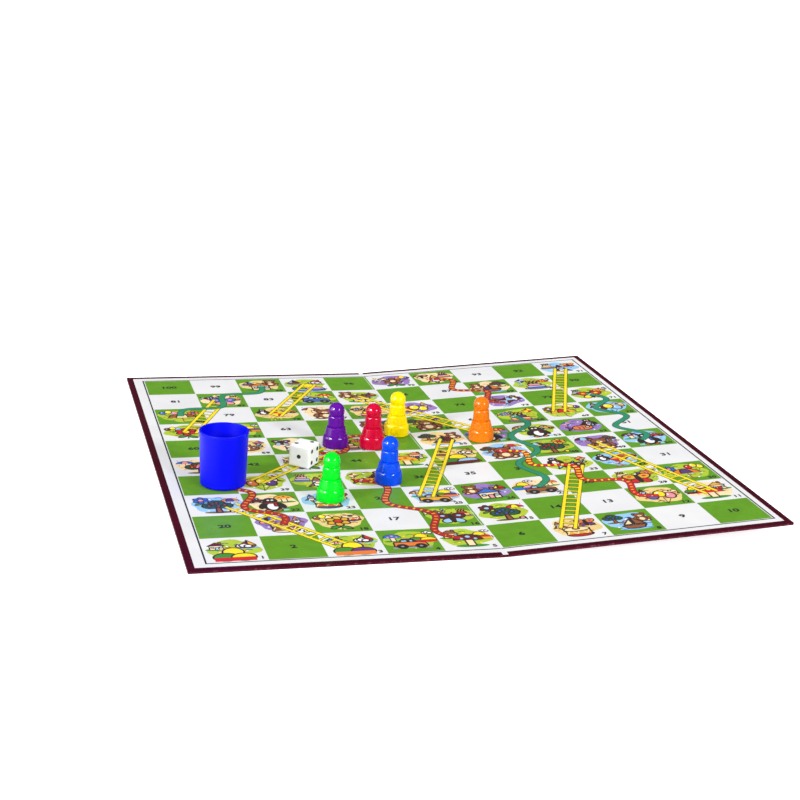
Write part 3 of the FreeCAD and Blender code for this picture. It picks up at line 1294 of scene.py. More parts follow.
@dataclass(kw_only=True)
class Picture(Pen):
    """Pen that knows the motifs, in two inks."""

    main: Ink
    other: Ink

    def boat(self) -> None:
        """A small sailing boat on the water."""
        self.oval(0, -0.26, 0.42, 0.08, Ink.SKY, bare=True)
        self.area([(-0.3, -0.08), (0.32, -0.08), (0.2, -0.26), (-0.2, -0.26)], Ink.BROWN)
        self.stroke([(0.02, -0.08), (0.02, 0.4)], 0.03, Ink.OUTLINE)
        self.area([(0.05, -0.03), (0.05, 0.38), (0.32, -0.03)], self.main)
        self.area([(-0.01, -0.03), (-0.01, 0.28), (-0.24, -0.03)], self.other)
        self.stroke([(-0.4, -0.3), (-0.2, -0.27), (0.0, -0.31), (0.2, -0.27), (0.4, -0.3)], 0.03, Ink.BLUE)

    def kite(self) -> None:
        """A diamond kite with bows on its tail."""
        self.stroke([(0.02, -0.1), (-0.12, -0.24), (0.04, -0.34), (-0.2, -0.42)], 0.02, Ink.OUTLINE)
        for x, y in ((-0.1, -0.22), (0.02, -0.33), (-0.16, -0.4)):
            for out in (-0.07, 0.07):
                self.area([(x + out, y - 0.04), (x, y), (x + out, y + 0.04)], self.other, bare=True)
        self.area([(0.1, 0.42), (0.32, 0.16), (0.02, -0.12), (-0.2, 0.16)], self.main)
        self.area([(0.1, 0.42), (0.32, 0.16), (0.06, 0.16)], self.other, bare=True)
        self.area([(-0.2, 0.16), (0.06, 0.16), (0.02, -0.12)], self.other, bare=True)

    def balloons(self) -> None:
        """Three balloons on strings."""
        for x in (-0.22, 0.02, 0.24):
            self.stroke([(x, 0.0), (0.0, -0.4)], 0.018, Ink.OUTLINE)
        for x, y, ink in ((-0.22, 0.12, self.main), (0.24, 0.1, self.other), (0.02, 0.24, Ink.YELLOW)):
            self.oval(x, y, 0.13, 0.17, ink)
            self.oval(x - 0.04, y + 0.06, 0.03, 0.045, Ink.WHITE, bare=True)

    def house(self) -> None:
        """A cottage with a door, a window and a chimney."""
        self.oval(0, -0.28, 0.44, 0.1, Ink.LEAF, bare=True)
        self.box(0.12, 0.2, 0.22, 0.42, Ink.BROWN)
        self.box(-0.26, -0.3, 0.26, 0.08, Ink.CREAM)
        self.area([(-0.34, 0.08), (0.34, 0.08), (0.0, 0.38)], self.main)
        self.box(-0.05, -0.3, 0.09, -0.06, self.other)
        self.box(-0.2, -0.14, -0.1, -0.02, Ink.SKY)
        self.ball(0.18, -0.08, 0.05, Ink.SKY)

    def fish(self) -> None:
        """A striped fish with bubbles."""
        self.area([(-0.2, 0.0), (-0.42, 0.18), (-0.36, 0.0), (-0.42, -0.18)], self.other)
        self.area([(-0.06, 0.12), (0.14, 0.3), (0.12, 0.1)], self.other)
        self.oval(0.04, 0, 0.28, 0.17, self.main)
        for x in (-0.08, 0.04):
            self.stroke([(x, -0.13), (x + 0.03, 0.0), (x, 0.13)], 0.04, self.other)
        self.ball(0.2, 0.04, 0.035, Ink.WHITE)
        self.ball(0.21, 0.04, 0.015, Ink.BLACK, bare=True)
        self.ball(0.4, 0.16, 0.03, Ink.SKY)
        self.ball(0.36, 0.3, 0.04, Ink.SKY)

    def flower(self) -> None:
        """A flower in the grass."""
        self.stroke([(0, 0.1), (0.03, -0.15), (0, -0.4)], 0.045, Ink.LEAF)
        self.oval(-0.12, -0.22, 0.13, 0.05, Ink.LEAF, 35)
        self.oval(0.13, -0.26, 0.13, 0.05, Ink.LEAF, -35)
        for turn in range(30, 390, 60):
            angle = math.radians(turn)
            self.oval(0.17 * math.cos(angle), 0.14 + 0.17 * math.sin(angle), 0.11, 0.08, self.main, turn)
        self.ball(0, 0.14, 0.09, self.other)

    def sunrise(self) -> None:
        """The sun over two hills, with a cloud."""
        for k in range(7):
            angle = math.radians(30 * k)
            out = (0.36 * math.cos(angle), -0.02 + 0.36 * math.sin(angle))
            self.stroke([(0.0, -0.02), out], 0.03, Ink.GOLD)
        self.ball(0, -0.02, 0.22, Ink.YELLOW)
        self.oval(-0.2, -0.28, 0.26, 0.2, Ink.LEAF)
        self.oval(0.2, -0.3, 0.26, 0.18, self.other)
        self.box(-0.46, -0.5, 0.46, -0.3, self.main, bare=True)
        for x, y, r in ((0.2, 0.3, 0.08), (0.3, 0.32, 0.1), (0.38, 0.28, 0.07)):
            self.oval(x, y, r, r * 0.8, Ink.WHITE)

    def cake(self) -> None:
        """A layer cake with candles."""
        self.oval(0, -0.3, 0.38, 0.07, Ink.GREY)
        self.box(-0.28, -0.3, 0.28, -0.06, self.main)
        self.box(-0.28, -0.16, 0.28, -0.11, Ink.CREAM, bare=True)
        self.box(-0.2, -0.06, 0.2, 0.12, self.other)
        for x in (-0.12, 0.0, 0.12):
            self.box(x - 0.02, 0.12, x + 0.02, 0.27, Ink.WHITE)
            self.oval(x, 0.33, 0.025, 0.05, Ink.GOLD)

    def umbrella(self) -> None:
        """An open umbrella with drops of rain."""
        self.stroke([(0, 0.1), (0, -0.3), (0.05, -0.37), (0.12, -0.33)], 0.035, Ink.BROWN)
        self.oval(0, 0.02, 0.36, 0.3, self.main, share=(0.0, 0.5))
        self.oval(0, 0.02, 0.14, 0.3, self.other, share=(0.0, 0.5))
        for x, y in ((-0.3, 0.4), (0.32, 0.38), (-0.28, -0.2), (0.3, -0.14)):
            self.oval(x, y, 0.02, 0.045, Ink.BLUE, bare=True)

    def mushroom(self) -> None:
        """A spotted mushroom in the grass."""
        self.oval(0, -0.32, 0.4, 0.08, Ink.LEAF, bare=True)
        self.box(-0.1, -0.32, 0.1, 0.04, Ink.CREAM)
        self.oval(0, 0.0, 0.34, 0.32, self.main, share=(0.0, 0.5))
        for x, y, r in ((-0.16, 0.1, 0.05), (0.02, 0.2, 0.06), (0.18, 0.08, 0.045)):
            self.ball(x, y, r, self.other, bare=True)

    def butterfly(self) -> None:
        """A butterfly with spotted wings."""
        for way in SIDES:
            self.oval(0.18 * way, 0.14, 0.19, 0.13, self.main, 35 * way)
            self.oval(0.14 * way, -0.14, 0.14, 0.1, self.other, -40 * way)
            self.oval(0.2 * way, 0.16, 0.06, 0.05, self.other, bare=True)
            self.stroke([(0.0, 0.2), (0.1 * way, 0.38)], 0.02, Ink.OUTLINE)
        self.oval(0, 0, 0.04, 0.24, Ink.OUTLINE)

    def tree(self) -> None:
        """A fruit tree."""
        self.oval(0, -0.34, 0.36, 0.06, Ink.OLIVE, bare=True)
        self.area([(-0.07, -0.36), (0.08, -0.36), (0.04, 0.05), (-0.04, 0.05)], Ink.BROWN)
        for x, y in ((-0.17, 0.08), (0.17, 0.08), (0.0, 0.24)):
            self.oval(x, y, 0.18, 0.15, Ink.PINE)
        for x, y in ((-0.2, 0.08), (0.0, 0.26), (0.18, 0.12), (0.02, 0.05), (-0.1, 0.2)):
            self.ball(x, y, 0.035, self.main)
        self.ball(0.32, -0.3, 0.05, self.other)

    def car(self) -> None:
        """A small car on the road."""
        self.box(-0.46, -0.3, 0.46, -0.22, Ink.GREY, bare=True)
        self.area([(-0.24, 0.04), (0.18, 0.04), (0.1, 0.24), (-0.14, 0.24)], self.other)
        self.box(-0.2, 0.06, -0.04, 0.18, Ink.SKY)
        self.box(0.0, 0.06, 0.1, 0.18, Ink.SKY)
        self.area([(-0.4, -0.18), (0.4, -0.18), (0.38, 0.0), (0.24, 0.06), (-0.38, 0.06)], self.main)
        for way in SIDES:
            self.ball(0.22 * way, -0.18, 0.1, Ink.BLACK)
            self.ball(0.22 * way, -0.18, 0.04, Ink.GREY, bare=True)

    def rocket(self) -> None:
        """A toy rocket with its flame."""
        self.area([(-0.08, -0.2), (0.08, -0.2), (0.0, -0.44)], Ink.GOLD)
        for way in SIDES:
            self.area([(0.1 * way, -0.2), (0.28 * way, -0.26), (0.11 * way, 0.0)], self.main)
        self.box(-0.12, -0.22, 0.12, 0.14, Ink.WHITE)
        self.area([(-0.12, 0.14), (0.12, 0.14), (0.0, 0.42)], self.main)
        self.ball(0, 0.0, 0.06, self.other)

    def teddy(self) -> None:
        """A seated teddy bear with a bow."""
        self.oval(0, -0.36, 0.4, 0.06, Ink.OLIVE, bare=True)
        for way in SIDES:
            self.ball(0.17 * way, 0.34, 0.08, Ink.BROWN)
            self.oval(0.24 * way, -0.08, 0.08, 0.15, Ink.BROWN, 35 * way)
            self.oval(0.18 * way, -0.32, 0.12, 0.09, Ink.BROWN)
            self.ball(0.2 * way, -0.32, 0.05, Ink.CREAM, bare=True)
        self.oval(0, -0.13, 0.2, 0.22, Ink.BROWN)
        self.oval(0, -0.15, 0.11, 0.14, Ink.CREAM, bare=True)
        self.oval(0, 0.2, 0.2, 0.17, Ink.BROWN)
        self.oval(0, 0.14, 0.09, 0.07, Ink.CREAM, bare=True)
        for x, y in ((-0.08, 0.24), (0.08, 0.24), (0.0, 0.16)):
            self.ball(x, y, 0.022, Ink.BLACK, bare=True)
        for way in SIDES:
            self.area([(0, 0.04), (0.13 * way, 0.1), (0.13 * way, -0.02)], self.main)

    def penguin(self) -> None:
        """A penguin in a scarf."""
        self.oval(0, -0.36, 0.38, 0.06, Ink.SKY, bare=True)
        for way in SIDES:
            self.oval(0.1 * way, -0.36, 0.09, 0.04, Ink.ORANGE)
            self.oval(0.22 * way, -0.06, 0.06, 0.17, Ink.BLACK, 20 * way)
        self.oval(0, -0.08, 0.2, 0.28, Ink.BLACK)
        self.oval(0, -0.12, 0.13, 0.2, Ink.WHITE, bare=True)
        self.ball(0, 0.26, 0.14, Ink.BLACK)
        for way in SIDES:
            self.oval(0.05 * way, 0.29, 0.035, 0.04, Ink.WHITE, bare=True)
        self.area([(-0.04, 0.24), (0.04, 0.24), (0, 0.17)], Ink.ORANGE)
        self.box(-0.17, 0.08, 0.17, 0.15, self.main)
        self.box(0.06, -0.12, 0.14, 0.08, self.main)

    def drum(self) -> None:
        """A toy drum with its sticks."""
        self.oval(0, -0.26, 0.3, 0.1, self.other)
        self.box(-0.3, -0.26, 0.3, 0.04, self.main)
        zigzag = [(-0.3, -0.24), (-0.18, 0.02), (-0.06, -0.24), (0.06, 0.02), (0.18, -0.24), (0.3, 0.02)]
        self.stroke(zigzag, 0.03, Ink.CREAM)
        self.oval(0, 0.04, 0.3, 0.1, Ink.CREAM)
        for way in SIDES:
            self.stroke([(0.02 * way, 0.08), (0.28 * way, 0.34)], 0.04, Ink.BROWN)
            self.oval(0.02 * way, 0.08, 0.04, 0.035, self.other)


@dataclass
class Pictures(Layer):
    """The square pictures: a patch of scenery and three motifs each."""

    journeys: tuple[Journey, ...]
    level: float = 0.02 * MM
    ground_middle: Point = (0.5, 0.53)
    places: tuple[Point3, ...] = ((-0.24, 0.17, 0.5), (0.27, 0.14, 0.44), (0.02, -0.1, 0.74))
    motifs: tuple[Motif, ...] = tuple(Motif)
    square_step: int = 5
    place_step: int = 3
    more: tuple[tuple[int, int], ...] = (
        (0, 0), (5, 1), (2, 2), (1, 5), (4, 4), (3, 7), (5, 7), (8, 8), (3, 0), (7, 0), (2, 1), (4, 1),
        (1, 2), (5, 2), (9, 2), (2, 3), (8, 3), (5, 4), (7, 4), (2, 5), (8, 5), (1, 6), (5, 6), (9, 6),
        (4, 7), (3, 8), (7, 8), (5, 9), (8, 2), (7, 5),
    )
    grounds: tuple[Ground, ...] = (
        Ground(Ink.LIME, Ink.LEAF, Ink.YELLOW), Ground(Ink.SKY, Ink.BLUE, Ink.WHITE),
        Ground(Ink.SAND, Ink.BROWN, Ink.ORANGE), Ground(Ink.LIME, Ink.OLIVE, Ink.RED),
        Ground(Ink.CREAM, Ink.GOLD, Ink.PINK), Ground(Ink.LAVENDER, Ink.PURPLE, Ink.WHITE),
        Ground(Ink.LIME, Ink.PINE, Ink.WHITE),
    )
    colours: tuple[tuple[Ink, Ink], ...] = (
        (Ink.RED, Ink.YELLOW), (Ink.BLUE, Ink.PINK), (Ink.ORANGE, Ink.PURPLE),
        (Ink.BROWN, Ink.CREAM), (Ink.GOLD, Ink.RED), (Ink.MAROON, Ink.SKY),
    )

    def squares(self) -> list[tuple[int, int]]:
        """Squares that hold a picture, in the order they are drawn."""
        ends = [end for journey in self.journeys for end in (journey.start, journey.end)]
        return list(dict.fromkeys([(int(column), int(row)) for column, row in ends] + list(self.more)))

    def print_all(self) -> None:
        """Print every picture."""
        press = self.press("pictures")
        left, low = self.ground_middle
        for index, (column, row) in enumerate(self.squares()):
            drawing = Drawing(press, self.level)
            way = 1 if index % 2 else -1
            under = Scenery(drawing, self.field.at(column + left, row + low), self.field.square)
            under.draw(self.grounds[index % len(self.grounds)], float(index))
            for order, (x, y, share) in enumerate(self.places):
                motif = self.motifs[(index * self.square_step + order * self.place_step) % len(self.motifs)]
                middle = self.field.at(column + 0.5 + way * x, row + 0.5 + y)
                main, other = self.colours[(index + order) % len(self.colours)]
                picture = Picture(drawing, middle, self.field.square * share, main=main, other=other)
                getattr(picture, motif.value)()
        press.run()


@dataclass
class Numbers(Layer):
    """The number of each square, large in a plain one and small beside a picture."""

    pictured: list[tuple[int, int]]
    tall: float = 6.4 * MM
    small: float = 4.8 * MM
    stretch: float = 1.2
    inset: float = 2.3 * MM
    bold: float = 0.024
    bend_steps: int = 3
    level: float = 0.112 * MM

    def text(self, number: int) -> Mesh:
        """Flat mesh of a number, one unit tall.

        Args:
            number: The number.

        Returns:
            The mesh.
        """
        curve = bpy.data.curves.new("number", "FONT")
        curve.body = str(number)
        curve.resolution_u = self.bend_steps
        curve.offset = self.bold
        return evaluated(placed("number", curve))

    def print_all(self) -> None:
        """Print every number."""
        press = self.press("numbers")
        reach = self.field.square / 2 - self.inset
        for row in range(self.field.count):
            for column in range(self.field.count):
                mesh = self.text(self.field.number(column, row))
                low, high = extent([vertex.co for vertex in mesh.vertices])
                plain = (column, row) not in self.pictured
                size = self.tall if plain else self.small
                middle = self.field.at(column + 0.5, row + 0.5)
                if not plain:
                    width, height = (high.x - low.x) * size * self.stretch, (high.y - low.y) * size
                    middle += Vector((reach - width / 2, height / 2 - reach, 0))
                shape = Matrix.Diagonal((size * self.stretch, size, size, 1))
                place = Matrix.Translation(middle) @ shape @ Matrix.Translation(-(low + high) / 2)
                press.mesh(mesh, place, self.level, Ink.BLACK)
        press.run()


@dataclass
class Board:
    """Both leaves: finishes of the frame's pieces, and the print on the playing face."""

    field: PlayingField

    def dress_leaves(self) -> None:
        """Give the cores, covers and sheets their finishes."""
        board, paper = GreyBoard().build(), LaminatedPaper().build()
        cover = GrainedCover(self.field.board_half).build()
        for leaf in Leaf:
            for piece, material in (("core_board", board), ("cover", cover), ("playing_sheet", paper)):
                node = f"{leaf.prefix}_{piece}"
                for slot in frame["nodes"][node].material_slots:
                    slot.material = material
                LOG.info("%s: %s", node, material.name)

    def print_face(self) -> None:
        """Print the squares, pictures, numbers, ladders and snakes."""
        ink = PrintedInk().build()
        checker, ladders, snakes = (kind(self.field, ink) for kind in (Checker, Ladders, Snakes))
        pictures = Pictures(self.field, ink, ladders.runs + snakes.runs)
        numbers = Numbers(self.field, ink, pictures.squares())
        for layer in (checker, pictures, numbers, ladders, snakes):
            layer.print_all()


@dataclass(frozen=True)
class Stand:
    """Where a playing piece of the frame stands: its leaf, its foot's place and its height."""

    node: str
    place: Matrix
    height: float

    @classmethod
    def of(cls, node: str, fold: Fold) -> Stand:
        """Measure a piece square to the leaf that it stands on.

        Args:
            node: The piece's name, also its body's.
            fold: The board's crease.

        Returns:
            The stand, whose matrix takes a piece modelled on the origin to its place.
        """
        joint = next(j for j in frame["joints"] if j["child"] == node)
        leaf = fold.place(Leaf(joint["parent"]))
        piece = frame["nodes"][node]
        back = leaf.inverted() @ piece.matrix_world
        low, high = extent([back @ vertex.co for vertex in piece.data.vertices])
        middle = Vector(((low.x + high.x) / 2, (low.y + high.y) / 2, low.z))
        return cls(node, leaf @ Matrix.Translation(middle), high.z - low.z)

    def put(self, mesh: Mesh, name: str, replaced: bool) -> bpy.types.Object:
        """Stand a mesh on the place, as a piece that moves with the frame's.

        Args:
            mesh: The mesh, modelled on the origin.
            name: The new piece's name.
            replaced: Whether it is shown in place of the frame's own piece.

        Returns:
            The new piece.
        """
        mesh.name = name
        mesh.transform(self.place)
        piece = placed(name, mesh)
        if replaced:
            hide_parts(self.node)
        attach(piece, self.node)
        LOG.info("%s: %d faces", name, len(mesh.polygons))
        return piece


class Outline:
    """Half outline of a turned piece: (radius, height) points from the middle of its foot."""

    blunt = 0.5
    # A rounding takes at most one part in this many of the lines beside it
    parts = 2.2

    def __init__(self) -> None:
        """Start on the axis, at the foot."""
        self.points: list[Point] = [(0.0, 0.0)]

    def line(self, *ends: Point) -> None:
        """Go straight to each point."""
        self.points.extend(ends)

    def bend(self, end: Point, level_first: bool, steps: int = 9) -> None:
        """Go to a point by a quarter of an ellipse.

        Args:
            end: The point.
            level_first: Whether the bend sets out level and arrives upright, not the other way.
            steps: Short lines in the bend.
        """
        radius, height = self.points[-1]
        for k in range(1, steps + 1):
            early, late = math.sin(math.pi / 2 * k / steps), 1 - math.cos(math.pi / 2 * k / steps)
            out, up = (early, late) if level_first else (late, early)
            self.points.append((radius + (end[0] - radius) * out, height + (end[1] - height) * up))

    def softened(self, cut: float, steps: int = 4) -> list[Vector]:
        """Round the outline's sharp corners.

        Args:
            cut: How far from its corner a rounding starts.
            steps: Short lines in each rounding.

        Returns:
            The rounded outline.
        """
        points = [Vector(point) for point in self.points]
        soft = points[:1]
        for before, here, after in zip(points, points[1:], points[2:]):
            into, away = here - before, after - here
            if into.angle(away) < self.blunt:
                soft.append(here)
                continue
            reach = min(cut, into.length / self.parts, away.length / self.parts)
            start, end = here - into.normalized() * reach, here + away.normalized() * reach
            for k in range(steps + 1):
                share = k / steps
                soft.append(start.lerp(here, share).lerp(here.lerp(end, share), share))
        return soft + points[-1:]


@dataclass(frozen=True)
class PawnShape:
    """Sizes of a pawn: three tiers, each with a rounded shoulder, and a ball head."""

    foot: float = 8.65 * MM
    head: float = 5.3 * MM
    neck: float = 4.4 * MM
    foot_edge: float = 0.5 * MM
    top_shares: Point3 = (0.265, 0.455, 0.715)
    foot_shares: Point3 = (1.0, 0.86, 0.65)
    step_shares: Point3 = (0.0, 0.04, 0.12)
    shoulder_shares: Point3 = (0.985, 0.735, 0.62)
    waist_shares: Point = (0.85, 0.58)
    rounding_shares: Point3 = (0.425, 0.12, 0.22)
    soft: float = 0.3 * MM

    def outline(self, height: float) -> list[Vector]:
        """Half outline of the pawn.

        Args:
            height: The pawn's height.

        Returns:
            The outline's points.
        """
        pen = Outline()
        pen.line((self.foot - self.foot_edge, 0.0))
        pen.bend((self.foot, self.foot_edge), level_first=True, steps=4)
        waists = [share * self.foot for share in self.waist_shares] + [self.neck]
        low = 0.0
        tiers = zip(self.top_shares, self.foot_shares, self.step_shares, self.shoulder_shares,
                    self.rounding_shares, waists)
        for top, foot, step, shoulder, rounding, waist in tiers:
            high = top * height
            if low:
                pen.line((foot * self.foot, low + step * (high - low)))
            pen.line((shoulder * self.foot, high - rounding * (high - low)))
            pen.bend((waist, high), level_first=False)
            low = high
        pen.bend((self.head, height - self.head), level_first=True, steps=5)
        pen.bend((0.0, height), level_first=False, steps=14)
        return pen.softened(self.soft)


@dataclass(frozen=True)
class CupShape:
    """Sizes of the shaker cup: a tapered wall with a small rim outside its mouth."""

    mouth: float = 15.05 * MM
    foot: float = 14.2 * MM
    rim_out: float = 0.3 * MM
    rim_tall: float = 1.6 * MM
    wall: float = 1.1 * MM
    floor: float = 1.4 * MM
    floor_bend_share: float = 1.9
    foot_edge: float = 1.5 * MM
    soft: float = 0.28 * MM

    def outline(self, height: float) -> list[Vector]:
        """Half outline of the cup, outside and inside.

        Args:
            height: The cup's height.

        Returns:
            The outline's points.
        """
        def side(up: float) -> float:
            """Radius of the tapered outside at a height."""
            return self.foot + (self.mouth - self.foot) * up / height

        under, rim = height - self.rim_tall, self.mouth + self.rim_out
        inside = side(self.floor) - self.wall
        pen = Outline()
        pen.line((self.foot - self.foot_edge, 0.0))
        pen.bend((self.foot, self.foot_edge), level_first=True)
        pen.line((side(under), under), (rim, under), (rim, height), (self.mouth - self.wall, height),
                 (inside + self.foot_edge / 4, self.floor * self.floor_bend_share),
                 (inside - self.foot_edge / 2, self.floor), (0.0, self.floor))
        return pen.softened(self.soft)


class Lathe:
    """Node tree that turns a half outline round the Z axis into a closed smooth mesh."""

    def __init__(self, steps: int = 72, crease: float = 0.9) -> None:
        """Wire the tree.

        Args:
            steps: Faces round the axis.
            crease: Angle past which an edge stays sharp, in radians.
        """
        self.steps = steps
        self.crease = crease
        tree = self.tree = ShapeTree("lathe")
        count, around = tree.size("Points", "NodeSocketInt"), tree.size("Steps", "NodeSocketInt")
        column, row = tree.cell(count)
        outline = tree.add("GeometryNodeSampleIndex", {
            "Geometry": tree.inlet.outputs[0], "Value": tree.add("GeometryNodeInputPosition").outputs[0],
            "Index": row,
        }, data_type="FLOAT_VECTOR")
        apart = tree.add("ShaderNodeSeparateXYZ", {0: outline.outputs[0]})
        angle = tree.maths("MULTIPLY", tree.maths("DIVIDE", column, around), math.tau)
        flat = [tree.maths("MULTIPLY", apart.outputs[0], tree.maths(way, angle))
                for way in ("COSINE", "SINE")]
        turned = tree.add("GeometryNodeSetPosition", {
            "Geometry": tree.grid(1.0, 1.0, tree.maths("ADD", around, 1.0), count),
            "Position": tree.vector(*flat, apart.outputs[2]),
        })
        joined = tree.add("GeometryNodeMergeByDistance", {
            "Geometry": turned.outputs[0], "Distance": TOUCHING,
        })
        edge = tree.add("GeometryNodeInputMeshEdgeAngle").outputs["Unsigned Angle"]
        smooth = tree.add("GeometryNodeSetShadeSmooth", {"Geometry": joined.outputs[0], "Shade Smooth": True})
        creased = tree.add("GeometryNodeSetShadeSmooth", {
            "Geometry": smooth.outputs[0], "Selection": tree.maths("GREATER_THAN", edge, tree.size("Crease")),
            "Shade Smooth": False,
        }, domain="EDGE")
        self.end = creased.outputs[0]

    def turn(self, outline: list[Vector], material: Material) -> Mesh:
        """Turn one outline.

        Args:
            outline: The (radius, height) points, from foot to top.
            material: The piece's material.

        Returns:
            The closed mesh.
        """
        half = bpy.data.meshes.new("outline")
        half.from_pydata([(point.x, 0, point.y) for point in outline], [], [])
        self.tree.close(self.end, material)
        sizes = {"Points": len(outline), "Steps": self.steps, "Crease": self.crease}
        return self.tree.bake(half, sizes)


@dataclass
class Die:
    """The die: the frame's rounded cube, polished, with black paint in its dimples."""

    turn: float = math.radians(-38.0)
    pip_radius: float = 1.41 * MM
    ball_radius: float = 2.186 * MM
    depth: float = 0.55 * MM
    film: float = 0.09 * MM
    lift: float = 0.045 * MM
    offset_share: float = 0.25
    crease: float = 0.6
    pip_sides: int = 24
    pip_rings: int = 12

    def polished(self, node: str) -> Mesh:
        """Copy of the frame's die with its corners joined and shaded smooth.

        Args:
            node: The die's name.

        Returns:
            The mesh, in its place.
        """
        work = bmesh.new()
        work.from_mesh(frame["nodes"][node].data)
        bmesh.ops.remove_doubles(work, verts=work.verts[:], dist=TOUCHING)
        for face in work.faces:
            face.smooth = True
        for edge in work.edges:
            edge.smooth = edge.calc_face_angle(0.0) < self.crease
        mesh = bpy.data.meshes.new("polished_die")
        work.to_mesh(mesh)
        work.free()
        return mesh

    def dimples(self, side: float) -> Mesh:
        """Points at the middle of every dimple's bowl, each with the way that it faces.

        Args:
            side: The die's side.

        Returns:
            A mesh of points with an "outward" vector.
        """
        half, offset = side / 2, self.offset_share * side
        x, y, up = Vector((1, 0, 0)), Vector((0, 1, 0)), Vector((0, 0, 1))
        faces = ((1, -y, x, up), (6, y, x, up), (4, x, y, up), (3, -x, y, up), (2, up, x, y), (5, -up, x, y))
        spin = Matrix.Rotation(self.turn, 3, "Z")
        places, ways = [], []
        for count, outward, across, along in faces:
            spots = [(-1, -1), (1, 1), (-1, 1), (1, -1)][:count - count % 2]
            spots += [(-1, 0), (1, 0)] if count == 6 else [(0, 0)] * (count % 2)
            for a, b in spots:
                middle = up * half + outward * (half - self.depth) + (across * a + along * b) * offset
                places.append(spin @ middle)
                ways.append(spin @ outward)
        mesh = bpy.data.meshes.new("dimples")
        mesh.from_pydata(places, [], [])
        layer = mesh.attributes.new("outward", "FLOAT_VECTOR", "POINT")
        for item, way in zip(layer.data, ways):
            item.vector = way
        return mesh

    def pip_tree(self, material: Material) -> ShapeTree:
        """Tree that lays a bowl-shaped film of paint in each dimple.

        Args:
            material: The paint.

        Returns:
            The finished tree.
        """
        tree = ShapeTree("pips")
        radius, ball, film = tree.sizes("Radius", "Ball", "Film")
        globe = tree.add("GeometryNodeMeshUVSphere", {
            "Segments": self.pip_sides, "Rings": self.pip_rings, "Radius": 1.0,
        })
        spot = tree.add("ShaderNodeSeparateXYZ", {0: tree.add("GeometryNodeInputPosition").outputs[0]})
        level = spot.outputs[2]
        out = tree.maths("MULTIPLY", tree.maths("SUBTRACT", 1.0, tree.maths("MULTIPLY", level, level)),
                         tree.maths("MULTIPLY", radius, radius))
        reach = tree.maths("SQRT", tree.maths("SUBTRACT", tree.maths("MULTIPLY", ball, ball), out))
        bowl = tree.maths("SUBTRACT", ball, reach)
        height = tree.maths("ADD", bowl, tree.maths("MULTIPLY", level, film))
        flat = [tree.maths("MULTIPLY", spot.outputs[axis], radius) for axis in (0, 1)]
        place = tree.vector(*flat, tree.maths("ADD", height, tree.size("Lift")))
        pool = tree.add("GeometryNodeSetPosition", {"Geometry": globe.outputs[0], "Position": place})
        smooth = tree.add("GeometryNodeSetShadeSmooth", {"Geometry": pool.outputs[0], "Shade Smooth": True})
        way = tree.add("GeometryNodeInputNamedAttribute", {"Name": "outward"}, data_type="FLOAT_VECTOR")
        facing = tree.add("FunctionNodeAlignRotationToVector", {"Vector": way.outputs[0]}, axis="Z")
        pips = tree.scatter(tree.inlet.outputs[0], smooth.outputs[0], Rotation=facing.outputs[0])
        tree.close(pips, material)
        return tree

    def build(self, stand: Stand, plastic: Material, paint: Material) -> list[bpy.types.Object]:
        """Make the polished die and its pips.

        Args:
            stand: Where it stands.
            plastic: The die's material.
            paint: The pips' material.

        Returns:
            Both pieces.
        """
        body = self.polished(stand.node)
        body.materials.clear()
        body.materials.append(plastic)
        body.transform(stand.place.inverted() @ frame["nodes"][stand.node].matrix_world)
        die = stand.put(body, "polished_die", replaced=True)
        sizes = {"Radius": self.pip_radius, "Ball": self.ball_radius, "Film": self.film, "Lift": self.lift}
        pips = self.pip_tree(paint).bake(self.dimples(stand.height), sizes)
        return [die, stand.put(pips, "die_pips", replaced=False)]


@dataclass
class PlayingPieces:
    """The pawns, the die and the cup."""

    fold: Fold
    pawns: tuple[tuple[str, Colour, Colour], ...] = (
        ("green_pawn", (0, 232, 40), (0, 196, 28)),
        ("blue_pawn", (4, 76, 232), (2, 52, 190)),
        ("purple_pawn", (94, 14, 150), (66, 6, 112)),
        ("red_pawn", (204, 6, 54), (164, 2, 34)),
        ("yellow_pawn", (254, 226, 0), (242, 196, 0)),
        ("orange_pawn", (236, 124, 16), (212, 92, 6)),
    )
    cup: tuple[Colour, Colour] = ((0, 8, 232), (0, 4, 214))
    die: tuple[Colour, Colour] = ((254, 254, 254), (248, 248, 250))
    cup_steps: int = 128
    cup_roughness: float = 0.38
    cup_shine: float = 0.1
    pawn_glow: float = 0.12
    die_glow: float = 0.1

    def build(self) -> list[bpy.types.Object]:
        """Turn the pawns and the cup, and finish the die.

        Returns:
            Every playing piece.
        """
        shape = PawnShape()
        pieces = []
        for node, tint, deep in self.pawns:
            stand = Stand.of(node, self.fold)
            plastic = MouldedPlastic(f"{node}_plastic", tint, deep, self.pawn_glow).build()
            pawn = Lathe().turn(shape.outline(stand.height), plastic)
            pieces.append(stand.put(pawn, f"turned_{node}", replaced=True))
        stand = Stand.of("shaker_cup", self.fold)
        plastic = MouldedPlastic("cup_plastic", *self.cup, roughness=self.cup_roughness,
                                 shine=self.cup_shine).build()
        cup = Lathe(self.cup_steps).turn(CupShape().outline(stand.height), plastic)
        pieces.append(stand.put(cup, "turned_shaker_cup", replaced=True))
        plastic = MouldedPlastic("die_plastic", *self.die, self.die_glow).build()
        return pieces + Die().build(Stand.of("die", self.fold), plastic, PipPaint().build())


